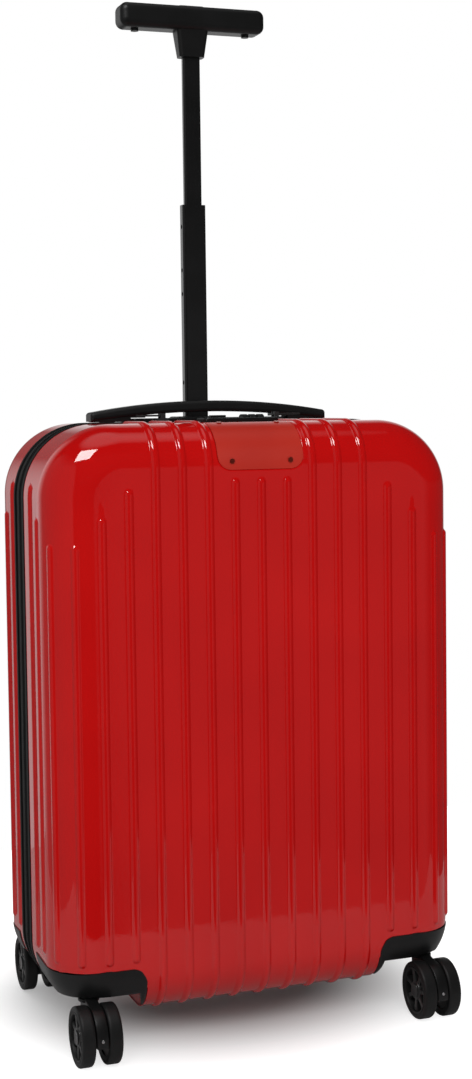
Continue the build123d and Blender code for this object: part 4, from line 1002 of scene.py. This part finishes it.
def make_floor():
    """Grey floor that glows white to the camera, except over an oval under the case where the glow fades
    out: the grey left there is painted shade, with the lamps' soft shadow of the case on it.
    """
    mesh = bpy.data.meshes.new("floor")
    far, near = FLOOR_FAR, FLOOR_NEAR
    corners = [(-far, -near, 0), (far, -near, 0), (far, far, 0), (-far, far, 0)]
    mesh.from_pydata(corners, [], [(0, 1, 2, 3)])
    floor = bpy.data.objects.new("floor", mesh)
    bpy.context.scene.collection.objects.link(floor)
    n = Nodes("floor")
    n.set(Base_Color=FLOOR_GREY, Roughness=0.9)
    path = n.add("ShaderNodeLightPath")
    under = n.add("ShaderNodeVectorMath", operation="MULTIPLY_ADD")
    under.inputs[1].default_value = SHADOW_STRETCH
    under.inputs[2].default_value = SHADOW_SHIFT
    n.link(n.coords(), under.inputs[0])
    away = n.add("ShaderNodeVectorMath", operation="LENGTH")
    n.link(under.outputs[0], away.inputs[0])
    # The glow fades out towards the middle of the oval, which leaves painted shade on the grey floor
    # under the case
    fade = n.add("ShaderNodeMapRange", interpolation_type="SMOOTHSTEP")
    for key, value in SHADOW_FADE.items():
        fade.inputs[key].default_value = value
    n.link(away.outputs["Value"], fade.inputs["Value"])
    lit = n.add("ShaderNodeMath", operation="MULTIPLY")
    n.link(path.outputs["Is Camera Ray"], lit.inputs[0])
    n.link(fade.outputs["Result"], lit.inputs[1])
    glow = n.add("ShaderNodeEmission", Color=WHITE)
    n.link(lit.outputs[0], glow.inputs["Strength"])
    both = n.add("ShaderNodeAddShader")
    n.link(n.shader.outputs[0], both.inputs[0])
    n.link(glow.outputs[0], both.inputs[1])
    n.link(both.outputs[0], n.tree.nodes["Material Output"].inputs["Surface"])
    mesh.materials.append(n.material)


def make_world():
    """White to the camera; gloss sees a dim room with a bright backdrop, ceiling and two pale walls."""
    world = bpy.data.worlds.new("studio")
    world.use_nodes = True
    bpy.context.scene.world = world
    tree = world.node_tree
    links = tree.links.new

    def add(kind, **values):
        node = tree.nodes.new(kind)
        for key, value in values.items():
            setattr(node, key, value)
        return node

    room = tree.nodes["Background"]
    room.inputs["Strength"].default_value = ROOM_LIGHT
    white, studio = add("ShaderNodeBackground"), add("ShaderNodeBackground")
    for background in (room, white):
        background.inputs["Color"].default_value = WHITE
    axes = add("ShaderNodeSeparateXYZ")
    links(add("ShaderNodeTexCoord").outputs["Generated"], axes.inputs[0])

    def ramp(source, stops):
        """Grey by an axis of the direction, from (place, shade) stops between -1 and 1."""
        span = add("ShaderNodeMapRange")
        span.inputs["From Min"].default_value = -1.0
        links(source, span.inputs["Value"])
        node = add("ShaderNodeValToRGB")
        elements = node.color_ramp.elements
        while len(elements) < len(stops):
            elements.new(0.5)
        for element, (place, shade) in zip(elements, stops):
            element.position = (place + 1) / 2
            element.color = (shade, shade, shade, 1)
        links(span.outputs["Result"], node.inputs["Fac"])
        return node.outputs["Color"]

    def mix(kind, first, second):
        node = add("ShaderNodeMix", data_type="RGBA", blend_type=kind)
        node.inputs["Factor"].default_value = 1.0
        links(first, node.inputs["A"])
        links(second, node.inputs["B"])
        return node.outputs["Result"]

    def larger(first, second):
        return mix("LIGHTEN", first, second)

    def times(first, second):
        return mix("MULTIPLY", first, second)

    x, y, z = axes.outputs["X"], axes.outputs["Y"], axes.outputs["Z"]
    left_wall = times(
        ramp(x, ((-0.62, 0.2), (-0.56, 0.03))),
        ramp(z, ((0.62, 1.0), (0.8, 0.1))),
    )
    front_wall = times(
        ramp(x, ((0.24, 0.02), (0.27, 0.17), (0.6, 0.2), (0.85, 0.06))),
        ramp(z, ((0.03, 1.0), (0.1, 0.15))),
    )
    backdrop = times(
        ramp(y, ((0.62, 0.0), (0.9, 1.0))),
        ramp(x, ((-0.28, 1.0), (-0.12, 0.16), (0.12, 0.16), (0.28, 1.0))),
    )
    ceiling = ramp(z, ((0.9, 0.02), (0.96, 0.7)))
    seen = larger(larger(left_wall, front_wall), larger(backdrop, ceiling))
    links(seen, studio.inputs["Color"])
    path = add("ShaderNodeLightPath")
    shine = add("ShaderNodeMath", operation="MAXIMUM")
    links(path.outputs["Is Glossy Ray"], shine.inputs[0])
    links(path.outputs["Is Transmission Ray"], shine.inputs[1])
    first, last = add("ShaderNodeMixShader"), add("ShaderNodeMixShader")
    links(shine.outputs[0], first.inputs["Fac"])
    links(room.outputs[0], first.inputs[1])
    links(studio.outputs[0], first.inputs[2])
    links(path.outputs["Is Camera Ray"], last.inputs["Fac"])
    links(first.outputs[0], last.inputs[1])
    links(white.outputs[0], last.inputs[2])
    links(last.outputs[0], tree.nodes["World Output"].inputs["Surface"])


def softbox(name, place, target, size, power):
    """Rectangular lamp that faces a target."""
    data = bpy.data.lights.new(name, "AREA")
    data.shape = "RECTANGLE"
    data.size, data.size_y = size
    data.energy = power
    lamp = bpy.data.objects.new(name, data)
    bpy.context.scene.collection.objects.link(lamp)
    lamp.location = place
    lamp.rotation_mode = "QUATERNION"
    lamp.rotation_quaternion = (Vector(target) - Vector(place)).to_track_quat("-Z", "Y")
    return lamp


dress_cad_nodes()
for end in (FRONT, REAR):
    make_shell(end)
    make_zip(end)
    make_lining(end)
    for side in (LEFT, RIGHT):
        make_guard(side, end)
        make_caster(side, end)
for side in (LEFT, RIGHT):
    make_grip_end(side)
make_hinge()
make_camera()
make_floor()
make_world()
key = softbox("key", (-0.65, -0.62, 1.58), (-0.15, -0.09, 0.5), KEY_SIZE, KEY_POWER)
key.visible_diffuse = False
fill = softbox("fill", (-0.55, -2.05, 1.6), FILL_TARGET, FILL_SIZE, FILL_POWER)
fill.visible_glossy = False
back_fill = softbox("back_fill", (-0.4, 2.1, 1.7), FILL_TARGET, FILL_SIZE, BACK_FILL_POWER)
back_fill.visible_glossy = False
bpy.context.scene.view_settings.view_transform = "Standard"
